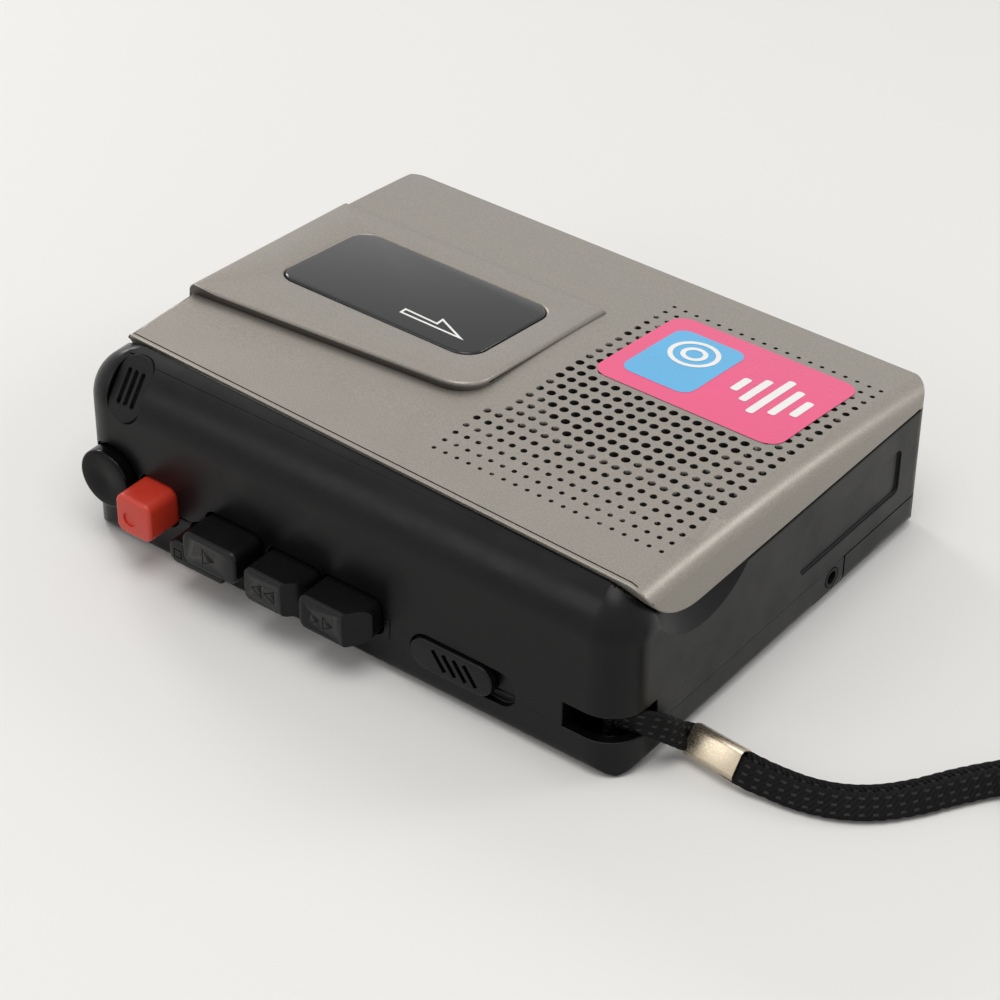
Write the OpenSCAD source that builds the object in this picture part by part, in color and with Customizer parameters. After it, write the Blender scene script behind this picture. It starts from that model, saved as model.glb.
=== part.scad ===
// Hand-held cassette recorder with a hinged speaker lid, millimetres, +Z up.
// The origin is the middle of the face it rests on. Keys face -Y, the lid hinges at +Y.

/* [Body] */
// Length of the body
body_l = 114; // [112:0.5:124]
// Width of the body without the keys
body_w = 90; // [89:0.5:98]
// Height of the seam between the two cabinet halves
seam_z = 7; // [6.8:0.1:7.2]
// Wall of the cabinet
wall = 2; // [1.8:0.1:2.3]
// Floor of the rear cabinet
floor_t = 1.6; // [1.3:0.1:1.8]
// Corner radius on the key side, seen from above
near_r = 7; // [5:0.5:8]
// Corner radius on the hinge side, seen from above
far_r = 4; // [3:0.5:5]
// Rounding of the bottom edge
base_r = 3; // [1.5:0.5:4]
// Height of the black shoulder over the keys
shoulder_z = 35; // [34.6:0.1:35.2]
// Radius of the black shoulder
shoulder_r = 9; // [7:0.5:10]

/* [Lid] */
// Height of the lower edge of the lid
lid_z = 25.15; // [25:0.05:25.4]
// Distance of the lid's near edge from the middle of the body
lid_near = 37.5; // [37:0.5:38.5]
// Slant of the near edge, degrees
lid_skew = 2.1; // [0:0.1:2.5]
// Radius under the near edge of the lid
toe_r = 16.5; // [15:0.5:18]
// Wall of the lid
lid_t = 1.6; // [1.4:0.1:1.8]
// Gap between the lid and the cabinet
lid_gap = 0.3; // [0.25:0.05:0.4]
// Radius of the crown of the lid
crown_r = 540; // [520:10:600]
// Height of the crown at its top
crown_z = 35.46; // [35.3:0.02:35.9]
// Distance of the top of the crown from the middle, towards the keys
crown_y = 38; // [36:1:40]
// Rounding of the ends of the lid
lid_end_r = 4.5; // [3:0.5:5.5]
// Slant of the lid's left end, degrees
left_skew = 2.6; // [2:0.1:3]
// Radius along the lid's left end
lid_left_r = 2; // [1.5:0.1:2.5]
// Rounding of the lid's lower edge round the hinge
hinge_edge_r = 1.75; // [1.7:0.05:1.9]
// Radius of a hinge pin
hinge_pin_r = 0.8; // [0.7:0.05:0.85]

/* [Window] */
// Right side of the raised window panel
panel_x = 3.5; // [2.5:0.5:5]
// Near corner of the raised panel, at its right side
panel_near = 14.6; // [13:0.2:16]
// Slant of the panel's near edge, degrees
panel_skew = 4.5; // [2:0.5:5]
// Corner radius of the panel
panel_r = 6; // [4:0.5:7]
// Height of the step at the panel's near edge
panel_step = 1.85; // [1.4:0.05:2.2]
// Fall of the panel towards the hinge, degrees
panel_fall = 6.2; // [5.8:0.1:6.3]
// Far end of the raised panel
panel_far = 24; // [20:0.5:26]
// Length of the window along the body
window_l = 43; // [38:0.5:43.5]
// Width of the window
window_w = 24; // [20:0.5:25]
// Corner radius of the window
window_r = 4; // [3:0.5:5]
// Middle of the window along the body, left of the middle
window_x = 24.3; // [23.5:0.1:24.8]
// Middle of the window across the body
window_y = 5.8; // [5:0.1:6.5]
// Thickness of the window pane
pane_t = 1.2; // [1:0.1:1.4]
// Ledge under the edge of the pane
pane_ledge = 1.3; // [1:0.1:2]

/* [Speaker grille] */
// Pitch of the holes along a row
grille_px = 2.34; // [2.2:0.02:2.6]
// Pitch of the rows
grille_py = 2.8; // [2.6:0.02:3]
// Radius of a hole
grille_hole = 0.8; // [0.6:0.02:0.9]
// Radius of the perforated disc over the speaker
grille_r = 19.5; // [18.5:0.1:19.6]
// Middle of the speaker along the body
grille_x = 28; // [27:0.1:29]
// Middle of the speaker across the body
grille_y = 4; // [3:0.1:5]
// Thickness of the perforated disc
grille_t = 1.2; // [1:0.1:1.3]
// Radius of the speaker
speaker_r = 18; // [16:0.5:18.2]

/* [Keys] */
// Travel of a key
key_travel = 3.6; // [3:0.1:3.8]
// How far the keys stand out
key_out = 6.5; // [5:0.1:7]
// Gap round a key in its window
key_gap = 0.35; // [0.3:0.05:0.45]
// Corner radius of a key
key_r = 1.6; // [1:0.1:2]
// Radius of the volume dial
dial_r = 5.5; // [5:0.1:5.6]
// Thickness of the volume dial
dial_t = 4; // [3.5:0.1:4.3]
// Travel of the pause slider
pause_travel = 4; // [3:0.1:4.2]

/* [Tape drive] */
// Distance between the two reel spindles
spindle_gap = 42.5; // [42:0.1:43]
// Height of the underside of the deck plate
deck_z = 16; // [15.9:0.1:16.1]
// Thickness of the deck plate
deck_t = 0.8; // [0.6:0.1:1]
// Radius of the capstan
capstan_r = 1; // [0.9:0.05:1.2]
// Radius of the flywheel
flywheel_r = 16.5; // [14:0.5:16.5]
// Radius of the motor pulley
pulley_r = 3; // [2.5:0.1:3.4]
// Radius of the motor can
motor_r = 11; // [10:0.2:11.5]
// Radius of the pinch roller
roller_r = 5; // [4.5:0.1:5.2]
// Travel of the head carriage
head_travel = 3.6; // [3:0.1:3.8]
// Running clearance of a shaft in its bearing
run = 0.04; // [0.02:0.01:0.06]

/* [Battery] */
// Diameter of a cell
cell_d = 14.5; // [14:0.1:14.5]
// Length of a cell
cell_l = 50.5; // [49.5:0.1:50.5]
// Thickness of the battery door
door_t = 1.3; // [1.1:0.1:1.4]
// Gap round the battery door
door_gap = 0.25; // [0.2:0.05:0.35]

/* [Strap] */
// Width of the strap
strap_w = 4.6; // [4:0.1:4.7]
// Thickness of the strap
strap_t = 1.3; // [1:0.1:1.5]

/* [Hidden] */
$fn = 64;
// Fine circles for the large crown only
crown_fn = 1440;
half_l = body_l / 2;
half_w = body_w / 2;
side_z = lid_z - lid_gap;
hinge_z = lid_z + hinge_edge_r;
hinge_y = half_w - hinge_edge_r - 0.05;
ear_r = hinge_pin_r + 0.5;
ear_x0 = half_l - 12;
ear_x1 = ear_x0 + 3.8;
deck_top = deck_z + deck_t;
well_x = half_l - 5.5;
well_near = 35.2;
well_far = half_w - 6.5;
shoulder_y = half_w - shoulder_r;
// Middle of the round under the lid's near edge
toe_c = [-lid_near + sqrt(toe_r * toe_r - (lid_z + toe_r - shoulder_z) * (lid_z + toe_r - shoulder_z)), lid_z + toe_r];

// Lid surface height at a place across the body
function crown_at(y) = crown_z - crown_r + sqrt(crown_r * crown_r - (y + crown_y) * (y + crown_y));
panel_ref = 17;
panel_z = crown_at(-panel_ref) + panel_step;

spindle_y = 6.4;
spindle_x = spindle_gap / 2;
hub_z = 25;
shaft_r = 1.2;
bush_r = 2.4;
table_r = 4.5;
table_z = deck_z - 2.8;
table_t = 2;
capstan = [28, -20];
fly_z = 4.2;
fly_t = 5.3;
belt_z = fly_z + 1.2;
belt_t = 1;
belt_gap = 0.1;
motor = [-half_l + 19, -14];
motor_h = 9;
// Depth of the belt groove in the flywheel
groove = 1;
pinion_r = 3;
train = [capstan[0] - spindle_x, capstan[1] - spindle_y];
train_l = norm(train);
idler_r = (train_l - table_r - pinion_r) / 2 - 0.1;
idler = [spindle_x, spindle_y] + train * (table_r + idler_r + 0.1) / train_l;
pinch_pivot = [40, -29.2];
roller = [capstan[0], -29.2];
tape_z = deck_top + 6.2;

// Key boxes seen from the key side: left, bottom, right, top
rec_box = [-43, 8.3, -35.2, 16];
play_box = [-28, 8.6, -16.2, 15];
stop_box = [-31.8, 6.6, -20, 11.2];
rewind_box = [-14.6, 7.2, -3.4, 14];
forward_box = [-2.8, 7.2, 9.4, 14];
rec_shank = [-41, 9.4, -37.2, 14];
play_shank = [-24.6, 10.6, -19.6, 13.4];
stop_shank = [-31.2, 7.6, -29.2, 10.2];
rewind_shank = [-12, 9, -6, 12.4];
forward_shank = [0.4, 9, 6.4, 12.4];
key_split = 10.8;
key_zone = [-44.6, 11];
front_y = -half_w;
guide_y = front_y + 8.2;
dial = [-half_l + 7.4, 13.2];
// Depth of the wall behind the volume dial
dial_back = 2.15;
pause_z = 8.3;
pause_x0 = 15.4;
pause_l = 21.2;
pause_h = 6.6;
pause_knob_l = pause_l - pause_travel - 0.6;

bay_x0 = -7;
bay_x1 = bay_x0 + cell_l + 1.8;
bay_y1 = half_w - 3.3;
bay_y0 = bay_y1 - 2 * cell_d - 0.6;
bay_top = door_t + cell_d + 0.1;
lip_y0 = 20;
jack_y = 16;
jack_z = 4.6;
end_jack_z = 12;
plug_r = 1.8;
board_z = 2.4;
board_t = 1.2;
strap_slot_z = 11.95;
strap_slot_x = 45.7;
strap_slot_y = -35.4;
strap_post = [50.6, -38.6];
mic_x = -46.4;
mic_l = 12;
// Angle of the microphone on the shoulder, so that its upper end stays clear of the lid
mic_clear = 2.25;
mic_up = acos((lid_near + mic_clear - shoulder_y) / norm([shoulder_r, mic_l / 2])) - atan2(mic_l / 2, shoulder_r);
mic_w = 7.4;
mic_depth = 2.4;
mic_plate = 1.4;

// Wrist strap: place and lean of the band, from the slot to the crimp, then the loop beyond it
anchor_path = [[52.2, -39.6, 9.45, 90], [54.6, -39.3, 9.45, 90], [57, -38.4, 9.3, 85], [58.9, -36.2, 7.8, 75],
    [59.7, -33.8, 5.6, 65], [60.3, -32.2, 4.1, 58], [61, -31.1, 3.4, 55]];
crimp_start = [61, -31, 3.3];
crimp_end = [71, -31.7, 3.25];
loop_path = [[71, -32.5, 3, 55], [76, -32, 2.6, 55], [82, -31, 2.35, 55], [87.5, -28.9, 2.35, 55],
    [92.3, -25.4, 2.35, 55], [96.4, -20.4, 2.35, 55], [100.2, -14.4, 2.35, 55], [104.2, -9, 2.35, 55],
    [109, -6.2, 2.35, 55], [116, -6.5, 2.35, 55], [125, -9.4, 2.35, 58], [134.5, -11.4, 2.4, 66],
    [142.5, -9.4, 2.4, 76], [146.6, -3.4, 2.4, 86], [145, 3, 2.4, 96], [138.5, 6.4, 2.4, 106],
    [129.5, 6.8, 2.4, 116], [120, 5, 2.35, 122], [113, 1.6, 2.35, 125], [107.6, -2.8, 2.35, 125],
    [103.1, -7.7, 2.35, 125], [98.9, -13.4, 2.35, 125], [95.1, -19.4, 2.35, 125], [91.1, -24.2, 2.35, 125],
    [86.6, -27.5, 2.35, 125], [81.5, -29.4, 2.35, 125], [75.8, -30.4, 2.6, 125], [71, -30.85, 3, 125]];

// Shared shapes

// Extrude a profile drawn in Y and Z along X, centred
module along_x(l) rotate([90, 0, 90]) linear_extrude(l, center = true) children();

// Extrude a profile drawn in X and Z along Y, centred
module along_y(l) rotate([90, 0, 0]) linear_extrude(l, center = true) children();

// A block between two corners
module block(a, b) translate(a) cube(b - a);

// A rectangle with round corners, box is left, bottom, right, top
module round_box(box, r, g = 0) {
    w = box[2] - box[0] + 2 * g;
    h = box[3] - box[1] + 2 * g;
    q = min(r + g, w / 2 - 0.01, h / 2 - 0.01);
    translate([box[0] - g, box[1] - g]) {
        translate([q, 0]) square([w - 2 * q, h]);
        translate([0, q]) square([w, h - 2 * q]);
        for (x = [q, w - q], y = [q, h - q]) translate([x, y]) circle(q);
    }
}

// A slot with round ends from one point to another, of a radius
module round_slot(l, r) {
    translate([-l / 2 + r, -r]) square([l - 2 * r, 2 * r]);
    for (s = [-1, 1]) translate([s * (l / 2 - r), 0]) circle(r);
}

// Body outline seen from above, drawn in by g
module plan(g = 0) {
    l = body_l - 2 * g;
    w = body_w - 2 * g;
    rn = near_r - g;
    rf = max(far_r - g, 0.4);
    translate([-l / 2, -w / 2 + rn]) square([l, w - rn - rf]);
    translate([-l / 2 + rn, -w / 2]) square([l - 2 * rn, w / 2]);
    translate([-l / 2 + rf, 0]) square([l - 2 * rf, w / 2]);
    for (s = [-1, 1]) {
        translate([s * (l / 2 - rn), -w / 2 + rn]) circle(rn);
        translate([s * (l / 2 - rf), w / 2 - rf]) circle(rf);
    }
}

// A profile whose two lower corners are round
module bowl_profile(w, h, r) {
    translate([-w / 2, r]) square([w, h - r]);
    translate([-w / 2 + r, 0]) square([w - 2 * r, h]);
    for (s = [-1, 1]) translate([s * (w / 2 - r), r]) circle(r);
}

// Rear cabinet

module key_wall(z0, z1, g) {
    block([key_zone[0] - g, front_y - 1, z0], [key_zone[1] + g, front_y + wall + g, z1]);
}

module key_holes() {
    along_y(2 * body_w) {
        for (b = [rec_box, play_box, stop_box, rewind_box, forward_box]) round_box(b, key_r, key_gap);
    }
}

module front_band() block([-body_l, front_y - 1, -1], [body_l, front_y + wall + 0.6, shoulder_z + 1]);

module pause_recess(g = 0) {
    translate([pause_x0 + pause_l / 2, front_y, pause_z]) {
        along_y(2.4) round_slot(pause_l + 2 * g, pause_h / 2 + g);
        translate([-pause_l / 2 + pause_knob_l / 2 + pause_travel / 2, 0, 0])
            block([-2.2 - pause_travel / 2, -1, -0.4], [2.2 + pause_travel / 2, wall + 1, 2.5]);
    }
}

boss_r = 2.6;
boss_in = wall + boss_r - 0.2;
screw_spots = [[-half_l + boss_in, -30], [half_l - boss_in, -27], [-half_l + boss_in, half_w - boss_in],
    [-12, half_w - boss_in]];

module rear_cabinet() color("#1c1c1e") difference() {
    union() {
        difference() {
            intersection() {
                linear_extrude(seam_z) plan();
                along_x(body_l + 2) bowl_profile(body_w, 40, base_r);
                along_y(body_w + 2) bowl_profile(body_l, 40, base_r);
            }
            translate([0, 0, floor_t]) linear_extrude(seam_z) plan(wall);
        }
        intersection() {
            key_wall(seam_z - 0.5, key_split, 0);
            linear_extrude(40) plan();
        }
        for (p = screw_spots) translate([p[0], p[1], floor_t - 0.3]) cylinder(r = boss_r, h = seam_z - floor_t + 0.25);
        for (p = board_posts) translate([p[0], p[1], floor_t - 0.3]) cylinder(r = 1.8, h = board_z - floor_t + 0.3);
        translate([strap_post[0], strap_post[1], floor_t - 0.3]) cylinder(r = 2.6, h = 1.6);
    }
    intersection() {
        key_holes();
        front_band();
    }
    pause_recess();
    // Floor opening and end notch for the battery door
    block([bay_x0 - 1 - door_gap, bay_y0 - 1 - door_gap, -1], [half_l + 1, bay_y1 + 0.35 + door_gap, floor_t + 0.4]);
    block([bay_x0 - 1 - door_gap, bay_y0 - 2 - door_gap, rail_z0 - door_gap],
        [half_l + 1, bay_y1 + 1.15 + door_gap, rail_z1 + door_gap]);
    block([half_l - wall - 1, lip_y0 - door_gap, -1], [half_l + 1, bay_y1 + 0.35 + door_gap, seam_z + 1]);
    translate([half_l, jack_y, jack_z]) rotate([0, 90, 0]) cylinder(r = 1.9, h = 3 * wall, center = true);
    for (p = screw_spots) translate([p[0], p[1], 0]) {
        translate([0, 0, -1]) cylinder(r = 1.1, h = 20);
        translate([0, 0, -1]) cylinder(r = 2.1, h = 2.2);
    }
    translate([strap_post[0], strap_post[1], floor_t]) cylinder(r = 1.2, h = 10);
}

board_posts = [[-47, -28], [-47, 36], [-20, 36], [4, -28]];

// Front cabinet

// The space of the lid in side view, grown by g
module lid_side(g) {
    translate([toe_c[0], lid_z - g]) square([150, 30]);
    translate(toe_c) circle(toe_r + g);
}

module skewed() rotate([0, 0, -lid_skew]) children();

// Place a piece on the shoulder over the microphone, with its Z pointing out of the surface
module at_mic() translate([mic_x, -shoulder_y, shoulder_z - shoulder_r]) rotate([90 - mic_up, 0, 0]) children();

module mic_outline(g = 0) rotate(90) round_slot(mic_l + 2 * g, mic_w / 2 + g);

module hinge_ear(s) {
    translate([s * (ear_x0 + ear_x1) / 2, hinge_y, hinge_z])
        rotate([0, 90, 0]) cylinder(r = ear_r, h = ear_x1 - ear_x0, center = true);
    x = min(s * ear_x0, s * ear_x1);
    block([x, hinge_y - ear_r, side_z - 3], [x + ear_x1 - ear_x0, hinge_y + ear_r, hinge_z]);
}

module strap_slot() intersection() {
    difference() {
        linear_extrude(strap_slot_z) plan(-1);
        translate([0, 0, -1]) linear_extrude(40) plan(wall + 0.6);
    }
    block([strap_slot_x, -half_w - 2, seam_z - 0.5], [half_l + 2, strap_slot_y, strap_slot_z]);
}

// Section of the shoulder, from the axis of a near corner outwards
module corner_section() intersection() {
    translate([0, seam_z]) square([near_r, shoulder_z]);
    union() {
        square([near_r, shoulder_z - shoulder_r]);
        translate([near_r - shoulder_r, shoulder_z - shoulder_r]) circle(shoulder_r);
    }
}

// Outer form of the front half, its shoulder carried round the near corners
module front_outer() {
    difference() {
        intersection() {
            translate([0, 0, seam_z]) linear_extrude(shoulder_z - seam_z) plan();
            along_x(body_l + 2) {
                translate([-shoulder_y, 0]) square([body_w, shoulder_z + 1]);
                translate([-half_w, 0]) square([body_w, shoulder_z - shoulder_r]);
                translate([-shoulder_y, shoulder_z - shoulder_r]) circle(shoulder_r);
            }
            along_y(body_w + 2) {
                translate([-half_l + shoulder_r, 0]) square([body_l - 2 * shoulder_r, shoulder_z + 1]);
                translate([-half_l, 0]) square([body_l, shoulder_z - shoulder_r]);
                for (s = [-1, 1]) translate([s * (half_l - shoulder_r), shoulder_z - shoulder_r]) circle(shoulder_r);
            }
        }
        for (s = [-1, 1]) translate([s * half_l, -half_w, 0])
            block([-near_r, -near_r, 0], [near_r, near_r, shoulder_z + 1]);
    }
    for (s = [-1, 1]) translate([s * (half_l - near_r), -half_w + near_r, 0])
        rotate([0, 0, s > 0 ? -90 : 180]) rotate_extrude(angle = 90) corner_section();
}

module front_cabinet() color("#1a1a1c") difference() {
    union() {
        difference() {
            front_outer();
            skewed() along_x(2 * body_l) lid_side(lid_gap);
            difference() {
                translate([0, 0, seam_z - 1]) linear_extrude(deck_top - seam_z + 1) plan(wall);
                // Backing of the volume dial
                block([-half_l, -half_w, seam_z - 2], [key_zone[0] + 0.9, front_y + wall + dial_back, deck_top + 1]);
            }
            block([-well_x, -well_near, deck_top - 1], [well_x, well_far, 60]);
        }
        for (s = [-1, 1]) hinge_ear(s);
        for (p = screw_spots) translate([p[0], p[1], seam_z + 0.05]) cylinder(r = boss_r, h = deck_z - seam_z - 1.6);
    }
    for (s = [-1, 1]) translate([s * (ear_x0 + 2), hinge_y, hinge_z]) rotate([0, 90, 0])
        cylinder(r = hinge_pin_r, h = 12, center = true);
    // Key windows, with the lower half left to the rear cabinet
    key_wall(seam_z - 1, key_split + 0.1, 0.1);
    intersection() {
        key_holes();
        front_band();
    }
    pause_recess();
    // Volume dial pocket and shaft
    translate([dial[0], front_y - 2, dial[1]]) rotate([-90, 0, 0]) cylinder(r = dial_r + 0.45, h = 2 + dial_t - 1.4);
    translate([dial[0], front_y, dial[1]]) rotate([-90, 0, 0]) cylinder(r = 1.6, h = 12);
    // Microphone seat
    at_mic() translate([0, 0, shoulder_r - mic_depth]) linear_extrude(6) mic_outline();
    at_mic() translate([0, 0, shoulder_r - mic_depth - 4]) cylinder(r = 3.05, h = 6);
    // Finger scoop under the edge of the lid at the right end
    translate([half_l + 20, -22.7, lid_z + 10.4]) sphere(r = 25.5, $fn = 96);
    strap_slot();
    // Bare recess at the right end
    translate([half_l, 0, 0]) rotate([90, 0, 90]) linear_extrude(1, center = true)
        round_box([5.5, 11, 36, 20], 1.2);
    // Jacks, speed dial and voice switch at the left end
    for (y = [jack_ear_y, jack_mic_y]) translate([-half_l, y, end_jack_z]) rotate([0, 90, 0])
        cylinder(r = 2.7, h = 3 * wall, center = true);
    block([-half_l - 1, speed_y - speed_r, speed_z - 1.6], [-half_l + wall + 1, speed_y + speed_r, speed_z + 1.6]);
    block([-half_l - 1, voice_y - 4.6, end_jack_z - 1.7], [-half_l + wall + 1, voice_y + 4.6, end_jack_z + 1.7]);
    for (p = screw_spots) translate([p[0], p[1], seam_z - 1]) cylinder(r = 0.9, h = 8);
    for (p = deck_holes) translate([p[0], p[1], deck_z])
        cylinder(r = deck_screw_r + 0.02, h = deck_t + deck_screw_bite + 0.5);
}

jack_ear_y = half_w - 12;
jack_mic_y = jack_ear_y - 9;
speed_y = 12;
speed_r = 6;
speed_z = 12;
voice_y = -4;

// Battery compartment

// Rails of the battery door
rail_z0 = 0.6;
rail_z1 = 1;

module battery_door() color("#1c1c1e") difference() {
    intersection() {
        union() {
            block([bay_x0 - 1, bay_y0 - 1, 0], [half_l, bay_y1 + 0.35, door_t]);
            block([bay_x0 - 1, bay_y0 - 2, rail_z0], [half_l - wall, bay_y1 + 1.15, rail_z1]);
            block([half_l - wall, lip_y0, 0], [half_l, bay_y1 + 0.35, seam_z - 0.15]);
        }
        linear_extrude(seam_z) plan();
        along_y(body_w + 2) bowl_profile(body_l, 40, base_r);
    }
    // Thumb grip on the door
    for (i = [0:4]) translate([half_l - 16 + 2 * i, (bay_y0 + bay_y1) / 2, 0])
        block([-0.5, -5, -1], [0.5, 5, 0.4]);
}

module battery_box() color("#252527") difference() {
    block([bay_x0 - 1.1, bay_y0 - 1.1, floor_t + 0.4], [bay_x1 + 1.1, bay_y1 + 1.1, deck_z]);
    block([bay_x0, bay_y0, -1], [bay_x1, bay_y1, bay_top]);
}

module battery_contacts() color("#c9c9c4") for (i = [0, 1]) {
    y = bay_y0 + 0.3 + cell_d / 2 + i * cell_d;
    z = door_t + cell_d / 2;
    flip = i == 0 ? 1 : -1;
    a = flip > 0 ? bay_x0 : bay_x1;
    b = flip > 0 ? bay_x1 : bay_x0;
    translate([a, y, z]) rotate([0, flip * 90, 0]) {
        translate([-4, -4, 0]) cube([8, 8, 0.4]);
        cylinder(r = 2.4, h = 0.9);
    }
    translate([b, y, z]) rotate([0, -flip * 90, 0]) {
        translate([-4, -4, 0]) cube([8, 8, 0.4]);
        difference() {
            cylinder(r1 = 3.6, r2 = 2.6, h = 1.2);
            translate([0, 0, -1]) cylinder(r = 2.1, h = 4);
        }
    }
}

// Deck plate

deck_near = -well_near - 3.6;
deck_far = well_far + 1.5;
deck_holes = [[-9, deck_near], [half_l - 17, deck_near], [-half_l + 7, deck_far], [half_l - 7, deck_far]];
deck_screw_r = 0.88;
deck_screw_bite = 5;

module deck_plate() color("#3a3a3d") difference() {
    translate([0, 0, deck_z]) linear_extrude(deck_t) difference() {
        round_box([-half_l + 3.5, -half_w + 4.2, half_l - 3.5, half_w - 3.5], 3);
        for (s = [-1, 1]) translate([s * spindle_x, spindle_y]) circle(bush_r);
        translate(capstan) circle(bush_r + 0.2);
        for (p = deck_holes) translate(p) circle(1.1);
        translate(idler) circle(1);
        translate(pinch_pivot) circle(1);
        for (x = [-18, 18]) translate([x, -31]) rotate(90) round_slot(head_travel + 5, 1.2);
        translate(motor) circle(3.2);
    }
}

// Lid

// The crowned body of the lid, drawn in by t
module crown(t) translate([0, -crown_y, crown_z - crown_r]) rotate([0, 90, 0])
    cylinder(r = crown_r - t, h = 2 * body_l, center = true, $fn = crown_fn);

// What a round end of radius r takes away, along the crown
module end_round(r) translate([0, -crown_y, crown_z - crown_r]) rotate([0, -90, 0]) rotate([0, 0, -3])
    rotate_extrude(angle = 14, $fn = crown_fn) translate([crown_r - r + 0.1, -half_l]) difference() {
        translate([0, -10]) square([20, 10 + r]);
        translate([0, r - 0.1]) circle(r, $fn = 48);
    }

// Frame of the left end, which runs in towards the key side
module at_left() translate([-half_l, hinge_y, 0]) rotate([0, 0, left_skew]) translate([half_l, -hinge_y, 0]) children();

// All that lies further left than g inside the left end
module left_slab(g) at_left() block([-half_l - 12, -2 * body_w, lid_z - 6], [-half_l + g, 2 * body_w, 60]);

// The lid's own form, without the panel
module lid_form() difference() {
    lid_outer();
    at_left() mirror([1, 0, 0]) end_round(lid_left_r);
}

module lid_outer() intersection() {
    translate([0, 0, lid_z]) linear_extrude(20) plan();
    skewed() along_x(2 * body_l) lid_side(0);
    crown(0);
    along_x(body_l + 2) {
        translate([-body_w, hinge_z]) square([body_w + half_w, 30]);
        translate([-body_w, 0]) square([body_w + hinge_y, 60]);
        translate([hinge_y, hinge_z]) circle(hinge_edge_r + 0.05);
    }
}

// Room inside the lid, with thicker end walls under the round ends
end_wall = lid_t + 1;
toe_lift = 4;

module lid_cavity() {
    intersection() {
        translate([0, 0, lid_z - 5]) linear_extrude(30)
            round_box([-half_l + end_wall, -half_w, half_l - end_wall, half_w - lid_t], 2);
        skewed() along_x(2 * body_l) {
            translate([toe_c[0], 0]) square([150, 60]);
            translate(toe_c) circle(toe_r - lid_t);
        }
        crown(lid_t);
    }
    // The curl under the near edge is open, so that the heads clear it
    block([-half_l + end_wall, -half_w, lid_z - 5], [half_l - end_wall, 0, lid_z + toe_lift]);
}

// Raised panel round the window
panel_c = [panel_x - panel_r, -panel_near - panel_r * tan(panel_skew) + panel_r / cos(panel_skew)];

module panel_plan() {
    foot = -panel_near - (half_l + 2 + panel_x) * tan(panel_skew);
    polygon(concat([[-half_l - 2, foot]],
        [for (a = [panel_skew - 90:12:0]) panel_c + panel_r * [cos(a), sin(a)]],
        [[panel_x, panel_c[1]], [panel_x, panel_far], [-half_l - 2, panel_far]]));
}

// Frame of the panel's sloping face, with its Z out of the face
module on_panel() translate([0, -panel_ref, panel_z]) rotate([-panel_fall, 0, 0]) children();

module panel_solid() intersection() {
    translate([0, 0, lid_z + 3]) linear_extrude(20) panel_plan();
    on_panel() block([-half_l + 0.1, -body_w, -20], [body_l, body_w, 0]);
}

// What the round left end takes away, along the fall of the panel
module left_round() at_left() on_panel() along_y(3 * body_w) difference() {
    translate([-half_l - 10, -lid_left_r + 0.1]) square([10 + lid_left_r, 20]);
    translate([-half_l + lid_left_r - 0.1, -lid_left_r + 0.1]) circle(lid_left_r);
}

window_box = [-window_x - window_l / 2, (window_y - window_w / 2 + panel_ref) / cos(panel_fall),
    -window_x + window_l / 2, (window_y + window_w / 2 + panel_ref) / cos(panel_fall)];
module lid_cover() color("#aeadaa") difference() {
    union() {
        difference() {
            union() {
                lid_form();
                difference() {
                    panel_solid();
                    left_round();
                }
            }
            difference() {
                lid_cavity();
                left_slab(end_wall);
            }
        }
        // Hinge blocks in the far corners
        intersection() {
            lid_form();
            for (s = [-1, 1]) {
                x = s > 0 ? ear_x1 + 0.3 : -half_l;
                block([x, hinge_y - 2.2, lid_z - 1], [x + half_l - ear_x1 - 0.3, half_w + 1, 40]);
            }
        }
    }
    left_slab(0);
    end_round(lid_end_r);
    for (s = [-1, 1]) {
        translate([s * (half_l - 8), hinge_y, hinge_z]) rotate([0, 90, 0])
            cylinder(r = hinge_pin_r + run, h = 10.6, center = true);
        x = s > 0 ? ear_x0 - 0.3 : -ear_x1 - 0.3;
        block([x, hinge_y - ear_r - 0.4, lid_z - 1], [x + ear_x1 - ear_x0 + 0.6, half_w + 1, hinge_z + ear_r + 0.3]);
    }
    on_panel() {
        translate([0, 0, -pane_t]) linear_extrude(10) round_box(window_box, window_r);
        translate([0, 0, -15]) linear_extrude(25) round_box(window_box, window_r, -pane_ledge);
    }
    translate([grille_x, grille_y, lid_z + 1]) cylinder(r = grille_r + 0.05, h = 20, $fn = 96);
}

module window_pane() color("#2a2c2e", 0.6) on_panel() translate([0, 0, -pane_t])
    linear_extrude(pane_t + 0.1) round_box(window_box, window_r, -0.1);

// Perforated disc over the speaker, holes on a square grid
module speaker_grille() color("#aeadaa") difference() {
    intersection() {
        difference() {
            crown(0);
            crown(grille_t);
        }
        translate([grille_x, grille_y, lid_z + 1]) linear_extrude(20) difference() {
            circle(grille_r, $fn = 96);
            for (i = [-8.5:8.5], j = [-7:7]) if (norm([i * grille_px, j * grille_py]) < grille_r - 1.2)
                translate([i * grille_px, j * grille_py]) circle(grille_hole, $fn = 16);
        }
    }
}

liner_z = deck_top + 10.8;
liner_t = 0.8;

// Far edge of the liner, where it still fits under the crown
liner_room = crown_z - lid_t - liner_z - liner_t - 0.15;
liner_far = min(half_w - 7.6, sqrt(2 * crown_r * liner_room - liner_room * liner_room) - crown_y);
post_x = half_l - 8;
liner_posts = [[-post_x, -7], [post_x, -7], [-post_x, liner_far - 5.4], [post_x, liner_far - 5.4], [3.5, 30]];
post_r = 1.8;

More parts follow.
